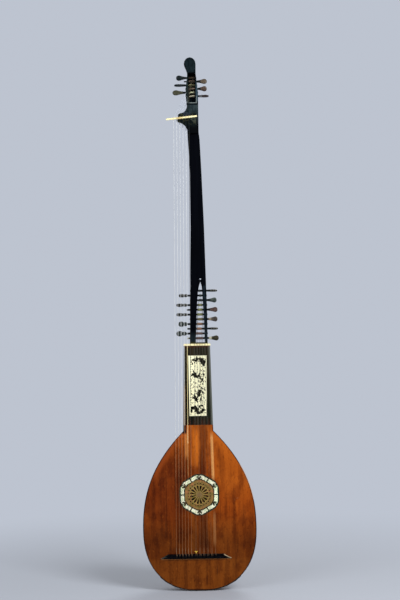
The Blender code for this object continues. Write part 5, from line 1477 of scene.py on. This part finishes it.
def add_strings(sizes, colours):
    """Strings the instrument, with a loose knot at the bridge."""
    pale = colours.gut_pale
    nut_height = NUT_LOW.z - TAIL_Z
    foot = BRIDGE_HIGH.z - TAIL_Z
    tied = [(0, (0.014, 0.014, 0.012)), (foot - 0.005, (0.27, 0.155, 0.085))]
    played = [*tied, (foot + 0.022, (0.19, 0.076, 0.028)), (SOUNDBOARD_TOP, (0.085, 0.080, 0.060)), (nut_height, (0.015, 0.018, 0.018))]
    guts = {
        "green": gut_material("gut_green", (0.33, 0.34, 0.14), played),
        "olive": gut_material("gut_olive", (0.29, 0.25, 0.13), played),
        "orange": gut_material("gut_orange", (0.48, 0.26, 0.155), played),
        "rosy": gut_material("gut_rosy", (0.26, 0.165, 0.14), played),
        "grey": gut_material("gut_grey", (0.050, 0.060, 0.055), played),
    }
    over_board = [(foot + 0.022, (0.22, 0.088, 0.034)), (0.420, (0.40, 0.165, 0.068))]
    hazy = (UPPER_NUT_HIGH.z - TAIL_Z - 0.004, (0.46, 0.50, 0.57))
    dim = [*tied, *over_board, (SOUNDBOARD_TOP, (0.030, 0.028, 0.020)), hazy]
    # Painted highlight: the gilt string's bright stretch from the upper board to the nut
    gold = [(0.425, (0.64, 0.33, 0.12)), (0.545, (1.0, 0.84, 0.42)), (nut_height, pale)]
    gilt_and_highlight = [*tied, *over_board, *gold, hazy]
    free = [[*tied, *over_board, (height, pale), hazy] for height in (0.612, 0.585, 0.572, 0.564)]
    # For each bass string: tone of its turns, their lit strip's half height, rise over the peg's
    # axis and end toward the treble side, and tones upward
    bass_tones = [
        ((0.64, 0.60, 0.44), 0.0015, 0.0000, 0.0040, dim),
        ((0.54, 0.56, 0.36), 0.0025, 0.0004, 0.0015, gilt_and_highlight),
        ((0.23, 0.165, 0.125), 0.0022, 0.0000, 0.0070, free[0]),
        ((0.50, 0.48, 0.25), 0.0020, 0.0024, -0.0045, free[1]),
        ((0.22, 0.155, 0.115), 0.0011, 0.0028, 0.0070, free[2]),
        ((0.050, 0.033, 0.018), 0.0018, 0.0000, 0.0030, free[3]),
    ]
    for i, (wound, half, rise, shade_start, zones) in enumerate(bass_tones):
        turns = (peg_facts(f"bass_peg_{i + 1}")["place"].z + rise, half, shade_start)
        guts[f"bass_string_{i + 1}"] = gut_material(f"bass_gut_{i + 1}", wound, zones, turns)
    for name, gut, radius, at_bridge, nut, peg, peg_x, way, turns, turns_back in string_routes(sizes):
        paths = [bridge_tie(at_bridge, radius) + nut + peg_winding(nut[-1], radius, peg, peg_x, way, turns)]
        if turns_back:
            beside = peg_x - way * (2 * radius + TURN_GAP)
            paths.append(peg_winding(nut[-1], radius, peg, beside, -way, turns_back))
        tube_piece(name + "_gut", paths, radius, guts[gut], sides=3, replaced=name)
    x = FIRST_COURSE_BRIDGE - 5 * COURSE_SPACING_BRIDGE
    loops = []
    for k in range(49):
        angle = 2 * math.pi * k / 48
        loops.append(
            (
                x + 0.0030 * math.sin(angle) + 0.0022 * math.sin(2 * angle),
                FRONT_Y - BRIDGE_FRONT_RISE * 0.80 - 0.0012 * math.sin(3 * angle),
                BRIDGE_HIGH.z + 0.0085 + 0.0030 * math.cos(angle) - 0.0016 * math.cos(2 * angle),
            )
        )
    yellow = gut_material("knot_gut", (0.98, 0.66, 0.09), [(0, (0.98, 0.66, 0.09))])
    tube_piece("bridge_knot", [loops], sizes.knot_line, yellow, sides=3)


# Stage


def add_stage(sizes, colours):
    """Pale floor that fades into the backdrop, soft lamps and the camera."""
    floor_z = CAD_BOX[0].z - 0.0005
    size = 30
    mesh = bpy.data.meshes.new("studio_floor")
    corners = [(x * size, y * size, floor_z) for x, y in ((-1, -1), (1, -1), (1, 1), (-1, 1))]
    mesh.from_pydata(corners, [], [(0, 1, 2, 3)])
    material, tree, shader, vector = new_material("pale_floor", 0.75, specular=0.2)
    shader.inputs["Base Color"].default_value = (*colours.floor, 1)
    far = add_node(tree, "ShaderNodeEmission")
    far.inputs["Color"].default_value = (*colours.backdrop, 1)
    flat = add_node(tree, "ShaderNodeVectorMath", operation="MULTIPLY")
    flat.inputs[1].default_value = (1, 1, 0)
    tree.links.new(vector, flat.inputs[0])
    reach = add_node(tree, "ShaderNodeVectorMath", operation="LENGTH")
    tree.links.new(flat.outputs[0], reach.inputs[0])
    fade = add_node(tree, "ShaderNodeMixShader")
    tree.links.new(ramp(tree, reach.outputs["Value"], 0.35, 2.2), fade.inputs[0])
    tree.links.new(shader.outputs[0], fade.inputs[1])
    tree.links.new(far.outputs[0], fade.inputs[2])
    tree.links.new(fade.outputs[0], tree.nodes["Material Output"].inputs["Surface"])
    mesh.materials.append(material)
    link(bpy.data.objects.new("studio_floor", mesh))

    world = bpy.data.worlds.new("studio")
    bpy.context.scene.world = world
    world.use_nodes = True
    tree = world.node_tree
    background = tree.nodes["Background"]
    background.inputs["Color"].default_value = (0.80, 0.80, 0.80, 1)
    background.inputs["Strength"].default_value = sizes.sky_strength
    seen = add_node(tree, "ShaderNodeBackground")
    seen.inputs["Color"].default_value = (*colours.backdrop, 1)
    mix = add_node(tree, "ShaderNodeMixShader")
    path = add_node(tree, "ShaderNodeLightPath")
    seen_by = maths(tree, "MAXIMUM", path.outputs["Is Camera Ray"], path.outputs["Is Glossy Ray"])
    seen_by = maths(tree, "MAXIMUM", seen_by, path.outputs["Is Transmission Ray"])
    tree.links.new(seen_by, mix.inputs[0])
    tree.links.new(background.outputs[0], mix.inputs[1])
    tree.links.new(seen.outputs[0], mix.inputs[2])
    tree.links.new(mix.outputs[0], tree.nodes["World Output"].inputs[0])

    lamps = [
        ("key_lamp", (2.0, -2.6, 1.0), 1.6, 126),
        ("fill_lamp", (-2.2, -2.4, -0.2), 2.0, 46),
        ("back_lamp", (0.8, 2.4, 1.0), 1.6, 40),
    ]
    aim = Vector((0, 0, -0.9))
    for name, place, width, power in lamps:
        data = bpy.data.lights.new(name, "AREA")
        data.size = width
        data.energy = power
        lamp = link(bpy.data.objects.new(name, data))
        lamp.location = place
        lamp.rotation_euler = (aim - Vector(place)).to_track_quat("-Z", "Y").to_euler()
    add_camera()


# Camera: the photograph's frame is 2.22 m tall at the soundboard
CAMERA_DISTANCE = 5.5
VIEW_HEIGHT = 2.22
VIEW_CENTRE_X = 0.0141
VIEW_CENTRE_ABOVE_TAIL = 1.074
CAMERA_ROLL = math.radians(0.92)
SENSOR_HEIGHT = 24.0


def add_camera():
    data = bpy.data.cameras.new("camera")
    data.sensor_fit = "VERTICAL"
    data.sensor_height = SENSOR_HEIGHT
    data.lens = SENSOR_HEIGHT * CAMERA_DISTANCE / VIEW_HEIGHT
    camera = link(bpy.data.objects.new("camera", data))
    camera.location = (VIEW_CENTRE_X, FRONT_Y - CAMERA_DISTANCE, TAIL_Z + VIEW_CENTRE_ABOVE_TAIL)
    camera.rotation_euler = (math.pi / 2, CAMERA_ROLL, 0)
    bpy.context.scene.camera = camera
    bpy.context.scene.view_settings.view_transform = "Standard"


# Properties


class ArchluteSizes(bpy.types.PropertyGroup):
    """Sizes of the visible details."""

    string_radius: bpy.props.FloatProperty(
        name="Fingered string radius",
        description="Radius of the eleven fingered strings",
        default=0.0004,
        min=0.0002,
        precision=5,
        unit="LENGTH",
    )
    bass_radius: bpy.props.FloatProperty(
        name="Bass string radius",
        description="Radius of the six bass strings",
        default=0.0007,
        min=0.0003,
        precision=5,
        unit="LENGTH",
    )
    scroll_line: bpy.props.FloatProperty(
        name="Scroll line",
        description="Radius of the plate's small curls, half sunk in it",
        default=0.0010,
        min=0.0002,
        precision=5,
        unit="LENGTH",
    )
    border_line: bpy.props.FloatProperty(
        name="Border line",
        description="Radius of the line round the plate",
        default=0.0003,
        min=0.0001,
        precision=5,
        unit="LENGTH",
    )
    curl_line: bpy.props.FloatProperty(
        name="Curl line",
        description="Radius of the mastic curls at the corners of the rose's inlay",
        default=0.0010,
        min=0.0002,
        precision=5,
        unit="LENGTH",
    )
    carving_line: bpy.props.FloatProperty(
        name="Carving line",
        description="Radius of the rose's ridges",
        default=0.0010,
        min=0.0003,
        precision=5,
        unit="LENGTH",
    )
    carving_height: bpy.props.FloatProperty(
        name="Carving height",
        description="Rise of the rose's hub and rim over the soundboard",
        default=0.0011,
        min=0.0003,
        precision=5,
        unit="LENGTH",
    )
    trim_width: bpy.props.FloatProperty(
        name="Pegbox trim",
        description="Width of the bone strip round the foot of the upper pegbox",
        default=0.0028,
        min=0.0005,
        precision=5,
        unit="LENGTH",
    )
    seam_line: bpy.props.FloatProperty(
        name="Seam line",
        description="Radius of the dark seams and scratches in the soundboard",
        default=0.0004,
        min=0.0001,
        precision=5,
        unit="LENGTH",
    )
    knot_line: bpy.props.FloatProperty(
        name="Knot line",
        description="Radius of the gut in the loose knot at the bridge",
        default=0.0011,
        min=0.0002,
        precision=5,
        unit="LENGTH",
    )
    sky_strength: bpy.props.FloatProperty(
        name="Sky strength",
        description="Brightness of the even light from all round",
        default=0.36,
        min=0.0,
    )


class ArchluteColours(bpy.types.PropertyGroup):
    """Colours that a user would change."""

    soundboard_light: bpy.props.FloatVectorProperty(
        name="Soundboard light",
        description="Colour of the varnished spruce between its growth lines",
        default=(0.315, 0.058, 0.0035),
        subtype="COLOR",
        min=0,
        max=1,
    )
    soundboard_dark: bpy.props.FloatVectorProperty(
        name="Soundboard dark",
        description="Colour of the growth lines and streaks",
        default=(0.100, 0.014, 0.0008),
        subtype="COLOR",
        min=0,
        max=1,
    )
    # Also the colour of the painted light on the top of the board
    soundboard_worn_and_lit: bpy.props.FloatVectorProperty(
        name="Soundboard worn",
        description="Colour where the varnish is rubbed thin",
        default=(0.43, 0.098, 0.008),
        subtype="COLOR",
        min=0,
        max=1,
    )
    rib_wood: bpy.props.FloatVectorProperty(
        name="Ribs",
        description="Colour of the bowl's staves",
        default=(0.26, 0.085, 0.025),
        subtype="COLOR",
        min=0,
        max=1,
    )
    black_light: bpy.props.FloatVectorProperty(
        name="Black stain light",
        description="Lighter grain of the stained neck and extension",
        default=(0.0014, 0.0018, 0.0034),
        subtype="COLOR",
        min=0,
        max=1,
    )
    black_dark: bpy.props.FloatVectorProperty(
        name="Black stain dark",
        description="Darker grain of the stained neck and extension",
        default=(0.0003, 0.0004, 0.0010),
        subtype="COLOR",
        min=0,
        max=1,
    )
    ivory_pale: bpy.props.FloatVectorProperty(
        name="Ivory pale",
        description="Colour of the nuts and the plate",
        default=(1.0, 0.98, 0.68),
        subtype="COLOR",
        min=0,
        max=1,
    )
    ivory_old: bpy.props.FloatVectorProperty(
        name="Ivory old",
        description="Colour of the ivory's yellowed streaks",
        default=(0.86, 0.76, 0.42),
        subtype="COLOR",
        min=0,
        max=1,
    )
    shell_pale: bpy.props.FloatVectorProperty(
        name="Shell pale",
        description="Lighter clouds of the rose's inlay",
        default=(0.99, 0.98, 0.74),
        subtype="COLOR",
        min=0,
        max=1,
    )
    shell_green: bpy.props.FloatVectorProperty(
        name="Shell green",
        description="Greener clouds of the rose's inlay",
        default=(0.78, 0.89, 0.56),
        subtype="COLOR",
        min=0,
        max=1,
    )
    rose_gold: bpy.props.FloatVectorProperty(
        name="Rose gold",
        description="Colour of the rose's carved ridges",
        default=(0.48, 0.33, 0.095),
        subtype="COLOR",
        min=0,
        max=1,
    )
    red_peg: bpy.props.FloatVectorProperty(
        name="Red peg",
        description="Colour of the reddest pegs",
        default=(0.064, 0.036, 0.031),
        subtype="COLOR",
        min=0,
        max=1,
    )
    gut_pale: bpy.props.FloatVectorProperty(
        name="Pale gut",
        description="Colour of the palest strings",
        default=(0.66, 0.68, 0.68),
        subtype="COLOR",
        min=0,
        max=1,
    )
    floor: bpy.props.FloatVectorProperty(
        name="Floor",
        description="Colour of the floor under the instrument",
        default=(0.44, 0.47, 0.53),
        subtype="COLOR",
        min=0,
        max=1,
    )
    backdrop: bpy.props.FloatVectorProperty(
        name="Backdrop",
        description="Colour seen behind the instrument",
        default=(0.51, 0.55, 0.63),
        subtype="COLOR",
        min=0,
        max=1,
    )


# Operators and panel


class ARCHLUTE_OT_body(bpy.types.Operator):
    """Finish the soundboard, ribs, binding and clasp"""

    bl_idname = "archlute.body"
    bl_label = "Body"

    def execute(self, context):
        dress_body(context.scene.archlute_sizes, context.scene.archlute_colours)
        return {"FINISHED"}


class ARCHLUTE_OT_neck(bpy.types.Operator):
    """Finish the neck, head, bridge and ivory pieces"""

    bl_idname = "archlute.neck"
    bl_label = "Neck and head"

    def execute(self, context):
        dress_neck(context.scene.archlute_sizes, context.scene.archlute_colours)
        return {"FINISHED"}


class ARCHLUTE_OT_rose(bpy.types.Operator):
    """Carve the rose and finish its inlay"""

    bl_idname = "archlute.rose"
    bl_label = "Rose"

    def execute(self, context):
        dress_rose(context.scene.archlute_sizes, context.scene.archlute_colours)
        return {"FINISHED"}


class ARCHLUTE_OT_plate(bpy.types.Operator):
    """Let the scrolls into the fingerboard plate"""

    bl_idname = "archlute.plate"
    bl_label = "Plate"

    def execute(self, context):
        add_plate_scrolls(context.scene.archlute_sizes, context.scene.archlute_colours)
        return {"FINISHED"}


class ARCHLUTE_OT_pegs(bpy.types.Operator):
    """Turn the seventeen pegs"""

    bl_idname = "archlute.pegs"
    bl_label = "Pegs"

    def execute(self, context):
        add_pegs(context.scene.archlute_sizes, context.scene.archlute_colours)
        return {"FINISHED"}


class ARCHLUTE_OT_strings(bpy.types.Operator):
    """String the instrument"""

    bl_idname = "archlute.strings"
    bl_label = "Strings"

    def execute(self, context):
        add_strings(context.scene.archlute_sizes, context.scene.archlute_colours)
        return {"FINISHED"}


class ARCHLUTE_OT_stage(bpy.types.Operator):
    """Set the floor, the lamps and the camera"""

    bl_idname = "archlute.stage"
    bl_label = "Stage"

    def execute(self, context):
        add_stage(context.scene.archlute_sizes, context.scene.archlute_colours)
        return {"FINISHED"}


OPERATORS = [
    ARCHLUTE_OT_body,
    ARCHLUTE_OT_neck,
    ARCHLUTE_OT_rose,
    ARCHLUTE_OT_plate,
    ARCHLUTE_OT_pegs,
    ARCHLUTE_OT_strings,
    ARCHLUTE_OT_stage,
]


class ARCHLUTE_PT_panel(bpy.types.Panel):
    """Lists the archlute's sizes, colours and pieces in the sidebar."""

    bl_idname = "ARCHLUTE_PT_panel"
    bl_label = "Archlute"
    bl_space_type = "VIEW_3D"
    bl_region_type = "UI"
    bl_category = "Archlute"

    def draw(self, context):
        for group, settings in (
            (ArchluteSizes, context.scene.archlute_sizes),
            (ArchluteColours, context.scene.archlute_colours),
        ):
            for name in group.__annotations__:
                self.layout.prop(settings, name)
        for operator in OPERATORS:
            self.layout.operator(operator.bl_idname)


CLASSES = [ArchluteSizes, ArchluteColours, *OPERATORS, ARCHLUTE_PT_panel]


def register():
    for cls in CLASSES:
        bpy.utils.register_class(cls)
    bpy.types.Scene.archlute_sizes = bpy.props.PointerProperty(type=ArchluteSizes)
    bpy.types.Scene.archlute_colours = bpy.props.PointerProperty(type=ArchluteColours)


def unregister():
    del bpy.types.Scene.archlute_colours
    del bpy.types.Scene.archlute_sizes
    for cls in reversed(CLASSES):
        bpy.utils.unregister_class(cls)


def main():
    register()
    bpy.ops.archlute.body()
    bpy.ops.archlute.neck()
    bpy.ops.archlute.rose()
    bpy.ops.archlute.plate()
    bpy.ops.archlute.pegs()
    bpy.ops.archlute.strings()
    bpy.ops.archlute.stage()


if __name__ == "__main__":
    main()
